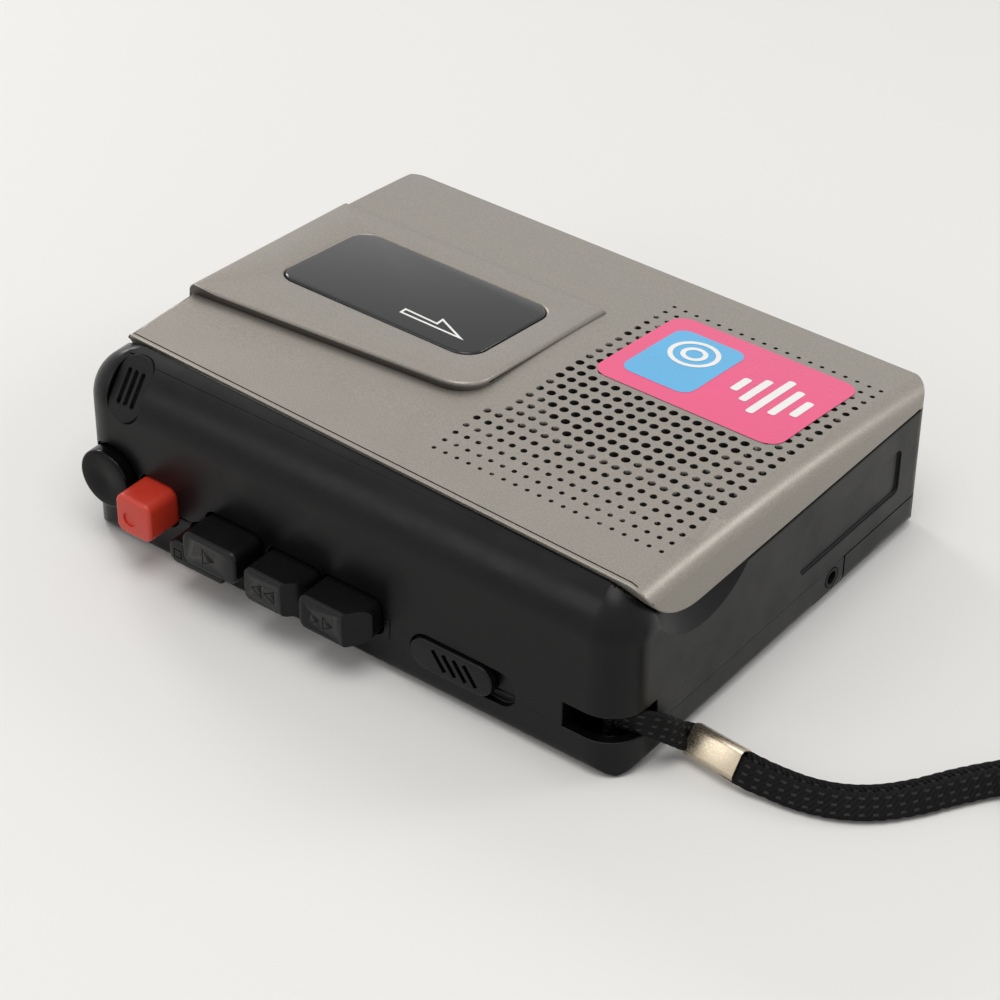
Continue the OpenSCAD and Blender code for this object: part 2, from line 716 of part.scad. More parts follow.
module lid_liner() color("#232325") {
    translate([0, 0, liner_z]) linear_extrude(liner_t) difference() {
        round_box([-half_l + end_wall + 2.9, -9.5, half_l - end_wall - 0.3, liner_far], 2);
        round_box([-window_x - window_l / 2, window_y - window_w / 2, -window_x + window_l / 2,
            window_y + window_w / 2], window_r, 0.5);
        translate([grille_x, grille_y]) circle(speaker_r + 0.7);
    }
    // Posts that hold the liner to the lid
    for (p = liner_posts) translate([p[0], p[1], liner_z])
        cylinder(r = post_r, h = crown_at(p[1] + post_r) - lid_t - 0.03 - liner_z);
}

// Bowed leaf springs that hold the cassette down
module cassette_springs() color("#b9bab8") for (x = [-40, 40]) translate([x, 0, 0]) along_x(5) intersection() {
    difference() {
        translate([28, liner_z + 12.4]) circle(14);
        translate([28, liner_z + 12.4]) circle(13.7);
    }
    translate([0, liner_z - 10]) square([60, 10]);
}

// Speaker, in a frame whose Z leaves the inner face of the lid upwards
flange_r = speaker_r + 2.4;
speaker_tilt = asin((grille_y + crown_y) / crown_r);
speaker_seat = crown_r - sqrt(crown_r * crown_r - flange_r * flange_r) + 0.05;

module at_speaker() translate([grille_x, grille_y, crown_at(grille_y) - lid_t - speaker_seat])
    rotate([-speaker_tilt, 0, 0]) children();

module speaker_frame() color("#6f7276") at_speaker() rotate_extrude()
    polygon([[flange_r, 0], [flange_r, -1], [speaker_r - 1, -1], [9.4, -2.7], [9.4, -3.6], [0, -3.6],
        [0, -3], [8.6, -3], [8.6, -2.3], [speaker_r - 2.8, -0.6], [speaker_r - 2.8, 0]]);

module speaker_magnet() color("#4a4c50") at_speaker() translate([0, 0, -3]) {
    cylinder(r = 6.2, h = 1.1);
    translate([0, 0, 1.1]) cylinder(r = 4.6, h = 0.3);
}

module speaker_cone() color("#17181a") at_speaker() rotate_extrude()
    polygon([[speaker_r - 2.85, -0.1], [speaker_r - 2.85, -0.45], [7, -1.45], [3.5, -1], [0, -0.85],
        [0, -0.55], [3.5, -0.7], [7, -1.1], [speaker_r - 4, -0.3], [speaker_r - 4.2, -0.1]]);

module hinge_pins() color("#b8b9bb") for (s = [-1, 1])
    translate([s * (ear_x0 + 0.2 + 4.3), hinge_y, hinge_z]) rotate([0, 90, 0])
        cylinder(r = hinge_pin_r, h = 8.6, center = true);

// Keys

// A key cap with bevelled edges, a shank and a stop flange behind the wall
module key_body(box, out, shank, low = true) {
    face_y = front_y - out;
    bevel = 1.3;
    wide = box[2] - box[0] + 2;
    difference() {
        union() {
            translate([0, (face_y + front_y + wall + 1) / 2, 0])
                along_y(front_y + wall + 1 - face_y) round_box(box, key_r);
            block([shank[0], front_y + wall + 0.5, shank[1]], [shank[2], guide_y + 2.6, shank[3]]);
            block([shank[0] - 0.8, front_y + wall + 0.35, shank[1] - 0.8],
                [shank[2] + 0.8, front_y + wall + 1.5, shank[3] + 0.8]);
        }
        translate([box[0] - 1, face_y, box[3] - bevel]) rotate([40, 0, 0]) translate([0, -4, 0]) cube([wide, 12, 6]);
        if (low) translate([box[0] - 1, face_y, box[1] + bevel]) rotate([-40, 0, 0]) translate([0, -4, -6])
            cube([wide, 12, 6]);
    }
}

// Engraved triangle, its point towards +X or -X
module arrow(x, z, h, s) translate([x, 0, z])
    along_y(0.7) polygon([[-s * h / 2, -h / 2], [s * h / 2, 0], [-s * h / 2, h / 2]]);

module face_marks(out) translate([0, front_y - out, 0]) children();

module rec_key() color("#c8402f") difference() {
    key_body(rec_box, key_out, rec_shank);
    face_marks(key_out) translate([(rec_box[0] + rec_box[2]) / 2, 0, (rec_box[1] + rec_box[3]) / 2])
        along_y(0.7) circle(1.5);
}

module play_key() color("#2b2b2d") difference() {
    key_body(play_box, key_out, play_shank);
    face_marks(key_out) arrow((play_box[0] + play_box[2]) / 2, (play_box[1] + play_box[3]) / 2, 3, 1);
}

module stop_key() color("#2b2b2d") difference() {
    intersection() {
        key_body(stop_box, key_out - 0.8, stop_shank, false);
        difference() {
            translate([0, -half_w, 0]) block([-60, -40, 0], [60, 40, 60]);
            along_y(3 * body_w) round_box(play_box, key_r, key_gap);
        }
    }
    face_marks(key_out - 0.8) translate([-30, 0, 8.9]) along_y(0.7) square(2, center = true);
}

module rewind_key() color("#2b2b2d") difference() {
    key_body(rewind_box, key_out, rewind_shank);
    for (d = [-1.6, 1.4]) face_marks(key_out) arrow(-9.4 + d, 10.4, 2.8, -1);
    translate([rewind_box[2], front_y - key_out, 0]) rotate([0, 0, -45]) translate([-2.2, -5, 0]) cube([10, 10, 40]);
}

module forward_key() color("#2b2b2d") difference() {
    key_body(forward_box, key_out, forward_shank);
    for (d = [-1.4, 1.6]) face_marks(key_out) arrow(1.4 + d, 10.4, 2.8, 1);
    translate([forward_box[2], front_y - key_out, 0]) rotate([0, 0, -35]) translate([-2.4, -8, 0]) cube([10, 14, 40]);
}

// Comb under the deck that guides the key shanks
module key_guide() color("#d9d5c8") difference() {
    block([key_zone[0] - 1, guide_y, seam_z + 0.3], [key_zone[1] - 1.6, guide_y + 1.6, deck_z]);
    for (b = [rec_shank, play_shank, stop_shank, rewind_shank, forward_shank])
        translate([0, guide_y, 0]) along_y(10) translate([b[0] - 0.3, b[1] - 0.3])
            square([b[2] - b[0] + 0.6, b[3] - b[1] + 0.6]);
}

// Pause slider with slanted ribs

module pause_slider() color("#2b2b2d") translate([pause_x0 + 0.3, front_y, pause_z]) {
    translate([pause_knob_l / 2, 0, 0]) {
        difference() {
            translate([0, 0.15, 0]) along_y(1.5) round_slot(pause_knob_l, pause_h / 2 - 0.3);
            for (i = [-1.5:1:1.5]) translate([i * 2, -0.8, 0]) rotate([0, 20, 0])
                block([-0.35, -0.5, -2], [0.35, 0.5, 2]);
        }
        block([-1.8, 0.6, 0], [1.8, wall + 0.4, 2]);
        block([-3, wall + 0.3, -0.3], [3, wall + 1.3, 3]);
    }
}

module ribbed_disc(r, h, n) difference() {
    cylinder(r = r, h = h);
    for (i = [0:n - 1]) rotate(i * 360 / n) translate([r + 0.15, 0, -1]) cylinder(r = 0.45, h = h + 2, $fn = 6);
}

module volume_dial() color("#1f1f21") translate([dial[0], front_y - 2.3, dial[1]]) rotate([-90, 0, 0]) {
    ribbed_disc(dial_r, dial_t - 0.7, 30);
    cylinder(r = 1.2, h = dial_t + 4);
}

module volume_pot() color("#8d8f92") difference() {
    translate([dial[0], 0, dial[1]]) block([-4.4, front_y + wall + dial_back + 0.15, -5.4], [4.8, front_y + wall + 6, 2.6]);
    translate([dial[0], front_y, dial[1]]) rotate([-90, 0, 0]) cylinder(r = 1.2 + run, h = 20);
}

// Microphone

module mic_grille() color("#1a1a1c") at_mic() translate([0, 0, shoulder_r - mic_depth]) difference() {
    linear_extrude(mic_plate) mic_outline(-0.1);
    for (x = [-1.5, 0, 1.5]) translate([x, 0, -1]) linear_extrude(5) rotate(90) round_slot(6.5, 0.4);
}

module mic_capsule() color("#9b9da0") at_mic() translate([0, 0, shoulder_r - mic_depth - 4]) difference() {
    cylinder(r = 3, h = 3.95);
    translate([0, 0, 3.6]) cylinder(r = 1.2, h = 1);
}

// Jacks and end controls

module end_jack(y) translate([-half_l, y, end_jack_z]) difference() {
    union() {
        rotate([0, 90, 0]) cylinder(r = 2.6, h = 6);
        block([wall + 0.05, -3.4, -3.4], [14, 3.4, deck_z - end_jack_z]);
    }
    rotate([0, 90, 0]) translate([0, 0, -1]) cylinder(r = plug_r, h = 14);
}

module ear_jack() color("#2a2a2c") end_jack(jack_ear_y);

module mic_jack() color("#9a2f2a") end_jack(jack_mic_y);

module dc_jack() color("#2a2a2c") translate([half_l, jack_y, jack_z]) difference() {
    union() {
        rotate([0, -90, 0]) cylinder(r = 1.8, h = 3);
        block([-10, -2.7, -2.4], [-wall - 0.05, 2.7, 2.8]);
    }
    rotate([0, -90, 0]) translate([0, 0, -1]) cylinder(r = 1.25, h = 9);
}

module voice_switch() color("#3a3a3c") translate([-half_l, voice_y, end_jack_z]) {
    block([-0.5, -4.3, -1.4], [wall + 0.3, 0.3, 1.4]);
    block([wall + 0.3, -5.6, -2.4], [wall + 1.3, 1.6, 2.4]);
}

module speed_dial() color("#1f1f21") translate([-half_l + speed_r - 0.9, speed_y, speed_z - 1.3]) {
    difference() {
        ribbed_disc(speed_r, 2.6, 36);
        translate([0, 0, -1]) cylinder(r = 1.5 + run, h = 5);
    }
}

// Board

module board_outline() {
    round_box([-half_l + 3, -34, -16.5, half_w - 4], 1);
    round_box([-20, -34, 8, bay_y0 - 2.6], 1);
}

module main_board() color("#b08a4a") difference() {
    translate([0, 0, board_z]) linear_extrude(board_t) difference() {
        board_outline();
        for (p = screw_spots) translate(p) circle(boss_r + 0.6);
        for (p = board_posts) translate(p) circle(0.9);
    }
}

module board_parts() color("#2e2f33") translate([0, 0, board_z + board_t]) {
    block([-36, 8, 0], [-24, 14, 2.2]);
    for (p = [[-20, 22], [-20, 30], [-30, 24]]) translate([p[0], p[1], 0]) cylinder(r = 2.5, h = 8);
    for (p = [[-44, 6], [-44, 12]]) translate([p[0], p[1], 0]) cylinder(r = 2, h = 6);
    // Pillar and bearing of the speed dial
    translate([-half_l + speed_r - 0.9, speed_y, 0]) {
        cylinder(r = 3, h = speed_z - 1.6 - board_z - board_t);
        cylinder(r = 1.5, h = speed_z + 1.6 - board_z - board_t);
    }
    // Body of the voice switch
    block([-half_l + wall + 1.5, voice_y - 6, 0], [-half_l + wall + 5, voice_y + 2, end_jack_z + 2.4 - board_z - board_t]);
}

// Tape drive

module motor_can() color("#b3b5b8") translate([motor[0], motor[1], deck_z - motor_h]) difference() {
    union() {
        cylinder(r = motor_r, h = motor_h - 1);
        cylinder(r = motor_r - 1, h = motor_h);
    }
    translate([0, 0, -1]) cylinder(r = 1 + run, h = 4);
}

module motor_pulley() color("#c9a24c") translate([motor[0], motor[1], 0]) {
    translate([0, 0, fly_z]) difference() {
        cylinder(r = pulley_r + 0.8, h = 2.4);
        translate([0, 0, 0.5]) difference() {
            cylinder(r = pulley_r + 3, h = 1.4);
            cylinder(r = pulley_r, h = 1.4);
        }
    }
    translate([0, 0, fly_z]) cylinder(r = 1, h = 5.2);
}

// Points of an arc round a middle, from one angle to another
function arc(c, r, a0, a1, n) = [for (i = [0:n]) c + r * [cos(a0 + (a1 - a0) * i / n), sin(a0 + (a1 - a0) * i / n)]];

// The belt's outline round the pulley and the flywheel, grown by g
module belt_outline(g) {
    run_way = capstan - motor;
    aim = atan2(run_way[1], run_way[0]);
    lean = acos((pulley_r - flywheel_r + groove) / norm(run_way));
    polygon(concat(arc(motor, pulley_r + g, aim + lean, aim + 360 - lean, 18),
        arc(capstan, flywheel_r - groove + g, aim - lean, aim + lean, 48)));
}

module drive_belt() color("#1b1b1c") translate([0, 0, belt_z - belt_t / 2]) linear_extrude(belt_t) difference() {
    belt_outline(belt_gap + 0.8);
    belt_outline(belt_gap);
}

module flywheel() color("#a9abae") translate([capstan[0], capstan[1], fly_z]) rotate_extrude($fn = 96) difference() {
    polygon([[capstan_r, 0], [flywheel_r, 0], [flywheel_r, fly_t], [flywheel_r - 4, fly_t], [flywheel_r - 4, fly_t - 1.5],
        [pinion_r + 3, fly_t - 1.5], [pinion_r, fly_t + 1], [pinion_r, deck_z - 0.7 - fly_z], [capstan_r, deck_z - 0.7 - fly_z]]);
    translate([flywheel_r - groove, 0.5]) square([4, 1.4]);
}

module capstan_shaft() color("#d5d6d8") translate([capstan[0], capstan[1], bracket_z + 0.85]) {
    cylinder(r = capstan_r, h = 27.5 - bracket_z - 0.85);
}

bracket_z = 2.2;

module capstan_bearing() color("#b58a3c") translate([capstan[0], capstan[1], deck_z - 0.4]) difference() {
    union() {
        cylinder(r = bush_r + 0.2, h = 3.2);
        translate([0, 0, 0.4 + deck_t]) cylinder(r = bush_r + 1, h = 0.8);
    }
    translate([0, 0, -1]) cylinder(r = capstan_r + run, h = 6);
}

module flywheel_bracket() color("#8f9194") {
    x0 = capstan[0] - flywheel_r - 2.2;
    x1 = capstan[0] + flywheel_r + 2.2;
    block([x0, capstan[1] - 3, bracket_z], [x1, capstan[1] + 3, bracket_z + 0.8]);
    for (x = [x0 - 0.9, x1 - 0.1]) block([x, capstan[1] - 3, bracket_z], [x + 1, capstan[1] + 3, deck_z]);
}

module idler_wheel() color("#38383a") translate([idler[0], idler[1], table_z]) difference() {
    cylinder(r = idler_r, h = table_t);
    translate([0, 0, -1]) cylinder(r = 1 + run, h = 10);
    translate([0, 0, table_t - 0.6]) difference() {
        cylinder(r = idler_r - 1.6, h = 2);
        translate([0, 0, -1]) cylinder(r = 2.4, h = 4);
    }
}

module idler_pin() color("#d5d6d8") translate([idler[0], idler[1], table_z - 1.2]) {
    cylinder(r = 1, h = deck_top - table_z + 1.2);
    cylinder(r = 1.9, h = 0.9);
}

// A reel spindle with three drive splines
module spindle(x) translate([x, spindle_y, 0]) {
    seat = deck_top + 1.75;
    rotate_extrude() polygon([[0, table_z], [shaft_r, table_z], [shaft_r, seat], [5.4, seat], [5.4, seat + 0.9],
        [3.1, seat + 0.9], [3.1, hub_z - 2.65], [1.3, hub_z], [0, hub_z]]);
    for (a = [0, 120, 240]) rotate(a) block([2, -0.5, seat + 0.4], [4.3, 0.5, hub_z - 3.2]);
}

module supply_spindle() color("#e4e2da") spindle(-spindle_x);

module takeup_spindle() color("#e4e2da") spindle(spindle_x);

module reel_table(x) translate([x, spindle_y, table_z]) difference() {
    cylinder(r = table_r, h = table_t);
    translate([0, 0, -1]) cylinder(r = shaft_r, h = 6);
}

module supply_table() color("#2f3033") reel_table(-spindle_x);

module takeup_table() color("#2f3033") reel_table(spindle_x);

module spindle_bushes() color("#b58a3c") for (s = [-1, 1]) translate([s * spindle_x, spindle_y, deck_z - 0.5]) difference() {
    union() {
        cylinder(r = bush_r, h = 2.7);
        translate([0, 0, 0.5 + deck_t]) cylinder(r = bush_r + 0.9, h = 0.6);
    }
    translate([0, 0, -1]) cylinder(r = shaft_r + run, h = 6);
}

head_y = -29.6;

module head_carriage() color("#9fa1a4") {
    difference() {
        translate([0, 0, deck_top + 0.1]) linear_extrude(0.8) round_box([-22, -34.6, 21, -28.8], 1);
        for (x = [-18, 18]) translate([x, -33.2, 0]) cylinder(r = 0.6, h = 40);
    }
    for (x = [-18, 18]) translate([x, -31 - head_travel / 2, deck_z - 0.9]) {
        cylinder(r = 0.95, h = deck_t + 1.3);
        cylinder(r = 1.6, h = 0.8);
    }
}

module head_block(x, w, d) translate([x, 0, 0]) difference() {
    intersection() {
        block([-w / 2, head_y - d, deck_top + 0.9], [w / 2, head_y, tape_z + 5]);
        translate([0, head_y - w, 0]) cylinder(r = w, h = 60, $fn = 96);
    }
    translate([0, head_y, tape_z]) block([-0.15, -1, -1.8], [0.15, 1, 1.8]);
}

module tape_head() color("#c6c7c9") head_block(0, 11, 5);

module erase_head() color("#4a4b4e") head_block(-14, 6.4, 5);

module pinch_arm() color("#9fa1a4") translate([0, 0, deck_top + 0.3]) difference() {
    union() {
        linear_extrude(0.8) {
            translate((roller + pinch_pivot) / 2) round_slot(pinch_pivot[0] - roller[0] + 5, 2.5);
        }
        translate([roller[0], roller[1], 0]) cylinder(r = 1, h = 9.6);
    }
    translate([pinch_pivot[0], pinch_pivot[1], -1]) cylinder(r = 1 + run, h = 4);
}

module pinch_roller() color("#1b1b1c") translate([roller[0], roller[1], deck_top + 2.2]) difference() {
    cylinder(r = roller_r, h = 7);
    translate([0, 0, -1]) cylinder(r = 1 + run, h = 10);
    for (z = [-0.01, 6.41]) translate([0, 0, z]) difference() {
        cylinder(r = 3.2, h = 0.6);
        cylinder(r = 2, h = 0.6);
    }
}

module pinch_pins() color("#d5d6d8") translate([pinch_pivot[0], pinch_pivot[1], deck_z]) {
    cylinder(r = 1, h = 2.2);
    translate([0, 0, deck_t + 1.4]) cylinder(r = 1.7, h = 0.6);
}

// Fasteners

module cabinet_screws() color("#707276") for (p = screw_spots) translate([p[0], p[1], 0]) {
    translate([0, 0, 0.2]) difference() {
        cylinder(r = 1.9, h = 1);
        for (a = [0, 90]) rotate(a) block([-1.2, -0.25, -1], [1.2, 0.25, 0.6]);
    }
    translate([0, 0, 1.2]) cylinder(r = 0.88, h = 10);
}

module deck_screws() color("#b8b9bb") for (p = deck_holes) translate([p[0], p[1], 0]) {
    translate([0, 0, deck_z - 1]) cylinder(r = 1.9, h = 0.98);
    translate([0, 0, deck_z - 0.5]) cylinder(r = deck_screw_r, h = deck_t + deck_screw_bite + 0.5);
}

module strap_post_pin() color("#b8b9bb") translate([strap_post[0], strap_post[1], floor_t])
    cylinder(r = 1.2, h = deck_z - floor_t - 0.05);

// Strap, a flat band swept along a smooth curve through chosen points

function unit(v) = v / norm(v);
function smooth_at(p, i, t) = let (a = p[max(i - 1, 0)], b = p[i], c = p[i + 1], d = p[min(i + 2, len(p) - 1)])
    0.5 * (2 * b + (c - a) * t + (2 * a - 5 * b + 4 * c - d) * t * t + (3 * b - a - 3 * c + d) * t * t * t);
function smooth_path(p, n) = [for (i = [0:len(p) - 2], k = [0:n - 1]) smooth_at(p, i, k / n), p[len(p) - 1]];
function place(v) = [v[0], v[1], v[2]];
function tangent(q, i) = unit(place(q[min(i + 1, len(q) - 1)] - q[max(i - 1, 0)]));

// Section of the band with cut corners, across and up
function band_section(w, t) = let (a = w / 2, b = t / 2, c = t / 3)
    [[a, -b + c], [a, b - c], [a - c, b], [-a + c, b], [-a, b - c], [-a, -b + c], [-a + c, -b], [a - c, -b]];

module band(path, steps) {
    q = smooth_path(path, steps);
    n = len(q);
    s = band_section(strap_w, strap_t);
    m = len(s);
    points = [for (i = [0:n - 1]) let (d = tangent(q, i), lean = q[i][3],
        side = unit(cross(d, [0, 0, 1])), top = cross(side, d),
        across = side * cos(lean) - top * sin(lean), up = top * cos(lean) + side * sin(lean))
        for (k = s) place(q[i]) + across * k[0] + up * k[1]];
    faces = concat([[for (k = [0:m - 1]) k]], [[for (k = [m - 1:-1:0]) (n - 1) * m + k]],
        [for (i = [0:n - 2], k = [0:m - 1]) [i * m + k, (i + 1) * m + k, i * m + (k + 1) % m]],
        [for (i = [0:n - 2], k = [0:m - 1]) [(i + 1) * m + k, (i + 1) * m + (k + 1) % m, i * m + (k + 1) % m]]);
    polyhedron(points, faces, convexity = 6);
}

module strap_anchor() color("#1d1d1f") band(anchor_path, 2);

module strap_loop() color("#1d1d1f") band(loop_path, 2);

module strap_crimp() color("#d8cfb4") {
    d = unit(crimp_end - crimp_start);
    mid = (crimp_start + crimp_end) / 2;
    translate(mid) rotate([0, 0, atan2(d[1], d[0])]) rotate([0, -asin(d[2]), 0]) rotate([loop_path[0][3], 0, 0])
        cube([norm(crimp_end - crimp_start) - 0.2, strap_w + 0.8, 2 * strap_t + 0.8], center = true);
}

rear_cabinet();
front_cabinet();
battery_door();
battery_box();
battery_contacts();
deck_plate();
lid_cover();
speaker_grille();
window_pane();
lid_liner();
cassette_springs();
speaker_frame();
speaker_cone();
speaker_magnet();
hinge_pins();
rec_key();
stop_key();
play_key();
rewind_key();
forward_key();
key_guide();
pause_slider();
volume_dial();
volume_pot();
mic_grille();
mic_capsule();
ear_jack();
mic_jack();
dc_jack();
voice_switch();
speed_dial();
main_board();
board_parts();
motor_can();
motor_pulley();
drive_belt();
flywheel();
capstan_shaft();
capstan_bearing();
flywheel_bracket();
idler_wheel();
idler_pin();
supply_spindle();
takeup_spindle();
supply_table();
takeup_table();
spindle_bushes();
head_carriage();
tape_head();
erase_head();
pinch_arm();
pinch_roller();
pinch_pins();
cabinet_screws();
deck_screws();
strap_post_pin();
strap_anchor();
strap_crimp();
strap_loop();
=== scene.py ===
# Looks of the hand-held cassette recorder: finishes, rounded mouldings, speaker lid, strap, light and camera
import math

import bmesh
import bpy
from mathutils import Matrix, Vector


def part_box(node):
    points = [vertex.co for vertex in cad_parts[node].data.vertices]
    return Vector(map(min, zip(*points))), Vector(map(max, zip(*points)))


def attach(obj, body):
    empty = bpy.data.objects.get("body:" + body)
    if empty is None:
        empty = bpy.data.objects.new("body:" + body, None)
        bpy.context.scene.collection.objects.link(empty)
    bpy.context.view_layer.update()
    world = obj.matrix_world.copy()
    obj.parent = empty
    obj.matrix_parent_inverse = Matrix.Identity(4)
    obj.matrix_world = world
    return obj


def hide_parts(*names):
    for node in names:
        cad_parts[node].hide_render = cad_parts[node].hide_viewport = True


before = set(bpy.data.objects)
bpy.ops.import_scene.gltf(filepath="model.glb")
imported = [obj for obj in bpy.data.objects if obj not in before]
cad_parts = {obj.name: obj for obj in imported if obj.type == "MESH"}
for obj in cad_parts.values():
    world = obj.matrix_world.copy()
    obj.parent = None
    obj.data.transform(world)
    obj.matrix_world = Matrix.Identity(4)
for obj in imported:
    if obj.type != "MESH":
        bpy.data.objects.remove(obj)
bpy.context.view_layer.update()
scene = bpy.context.scene
mm = 0.001


# Small helpers


def linear(hexCode):
    # sRGB hex to linear colour
    channels = [int(hexCode[i:i + 2], 16) / 255 for i in (1, 3, 5)]
    return [c / 12.92 if c <= 0.04045 else ((c + 0.055) / 1.055) ** 2.4 for c in channels] + [1.0]


def addNode(tree, kind, settings=None, links=None):
    # settings are sockets by name or number, or else the node's own options
    node = tree.nodes.new(kind)
    for key, value in (settings or {}).items():
        if isinstance(key, int) or key in node.inputs:
            node.inputs[key].default_value = value
        else:
            setattr(node, key, value)
    for key, source in (links or {}).items():
        tree.links.new(source, node.inputs[key])
    return node


def startBmesh(nodeName):
    # a merged copy of a CAD node, in millimetres
    bm = bmesh.new()
    bm.from_mesh(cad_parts[nodeName].data)
    bmesh.ops.remove_doubles(bm, verts=bm.verts, dist=1e-6)
    bmesh.ops.scale(bm, vec=(1000, 1000, 1000), verts=bm.verts)
    return bm


def makePiece(bm, name, body, slotName, sharpAngle=40, recalc=False, more=()):
    # from millimetres to a finished piece at the origin, smooth up to an angle
    if recalc:
        bmesh.ops.recalc_face_normals(bm, faces=bm.faces)
    bmesh.ops.scale(bm, vec=(mm, mm, mm), verts=bm.verts)
    mesh = bpy.data.meshes.new(name)
    for finish in (slotName, *more):
        mesh.materials.append(finishes[finish])
    bm.to_mesh(mesh)
    bm.free()
    mesh.shade_smooth()
    mesh.set_sharp_from_angle(angle=math.radians(sharpAngle))
    piece = bpy.data.objects.new(name, mesh)
    scene.collection.objects.link(piece)
    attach(piece, body)
    return piece


# Camera, at the photograph's viewing angle
cameraSet = {
    "place": (253.22, -335.75, 313.65),  # mm
    "target": (8.35, -12.24, 15.0),  # mm
    "roll": 0.63,  # degrees
    "lens": 108.13,  # mm
    "sensor": 36,  # mm
}


def makeCamera():
    data = bpy.data.cameras.new("camera")
    data.lens = cameraSet["lens"]
    data.sensor_width = cameraSet["sensor"]
    data.clip_start = 0.01
    data.clip_end = 20
    camera = bpy.data.objects.new("camera", data)
    place = Vector(cameraSet["place"]) * mm
    aim = Vector(cameraSet["target"]) * mm - place
    turn = aim.to_track_quat("-Z", "Y").to_matrix().to_4x4()
    roll = Matrix.Rotation(math.radians(cameraSet["roll"]), 4, "Z")
    camera.matrix_world = Matrix.Translation(place) @ turn @ roll
    scene.collection.objects.link(camera)
    scene.camera = camera
    print("camera lens:", cameraSet["lens"], "mm")


# Floor, world and lamps
studio = {
    "floor": "#E9E7E4",
    "floorRough": 0.65,
    "floorReach": 3.0,  # m from the middle to each side
    "floorDrop": 0.2,  # mm below the object
    "worldStrength": 0.45,
    # name: place and aim in mm, size in mm, power in watts
    "lamps": {
        "overhead": ((120, -160, 760), (10, -10, 20), 600, 2.8),
        "farLeft": ((-620, 240, 330), (0, 0, 30), 200, 1.1),
        "farRight": ((470, 510, 400), (30, 0, 25), 260, 0.9),
        "front": ((-300, -620, 420), (0, -20, 15), 420, 0.7),
    },
}


def makeStudio():
    scene.view_settings.view_transform = "Standard"
    world = bpy.data.worlds.new("studioWorld")
    scene.world = world
    world.use_nodes = True
    tree = world.node_tree
    tree.nodes.clear()
    rays = addNode(tree, "ShaderNodeLightPath")
    through = addNode(tree, "ShaderNodeMath", {"operation": "MAXIMUM"},
                      {0: rays.outputs["Is Camera Ray"], 1: rays.outputs["Is Transmission Ray"]})
    white = addNode(tree, "ShaderNodeMath", {"operation": "MAXIMUM"},
                    {0: through.outputs[0], 1: rays.outputs["Is Glossy Ray"]})
    seen = addNode(tree, "ShaderNodeMapRange", {"To Min": studio["worldStrength"], "To Max": 1.0},
                   {"Value": white.outputs[0]})
    back = addNode(tree, "ShaderNodeBackground", {"Color": (1, 1, 1, 1)}, {"Strength": seen.outputs[0]})
    addNode(tree, "ShaderNodeOutputWorld", links={"Surface": back.outputs[0]})

    bm = bmesh.new()
    bmesh.ops.create_grid(bm, x_segments=1, y_segments=1, size=studio["floorReach"])
    mesh = bpy.data.meshes.new("floor")
    bm.to_mesh(mesh)
    bm.free()
    floor = bpy.data.objects.new("floor", mesh)
    floor.location.z = -studio["floorDrop"] * mm
    scene.collection.objects.link(floor)
    mat = bpy.data.materials.new("paleFloor")
    mat.use_nodes = True
    shader = mat.node_tree.nodes["Principled BSDF"]
    shader.inputs["Base Color"].default_value = linear(studio["floor"])
    shader.inputs["Roughness"].default_value = studio["floorRough"]
    mesh.materials.append(mat)

    for name, (place, aim, size, power) in studio["lamps"].items():
        light = bpy.data.lights.new(name, "AREA")
        light.shape = "DISK"
        light.size = size * mm
        light.energy = power
        lamp = bpy.data.objects.new(name, light)
        lamp.location = Vector(place) * mm
        lamp.rotation_mode = "QUATERNION"
        lamp.rotation_quaternion = (Vector(aim) - Vector(place)).to_track_quat("-Z", "Y")
        scene.collection.objects.link(lamp)
    print("lamps:", len(studio["lamps"]))


# Finishes by slot, filled in makeFinishes
finishes = {}
inks = {"pinkInk": "#E5527F", "blueInk": "#5AAEDD", "whiteInk": "#ECEAE6"}


def newFinish(slotName, name, hexCode, rough, metallic=0.0):
    mat = bpy.data.materials.new(name)
    mat.use_nodes = True
    tree = mat.node_tree
    shader = tree.nodes["Principled BSDF"]
    shader.inputs["Base Color"].default_value = linear(hexCode)
    shader.inputs["Roughness"].default_value = rough
    shader.inputs["Metallic"].default_value = metallic
    coords = addNode(tree, "ShaderNodeTexCoord")
    finishes[slotName] = mat
    return tree, shader, coords.outputs["Object"]


def perMetre(sizeMm):
    # noise scale that gives features of about this size
    return 1000.0 / sizeMm


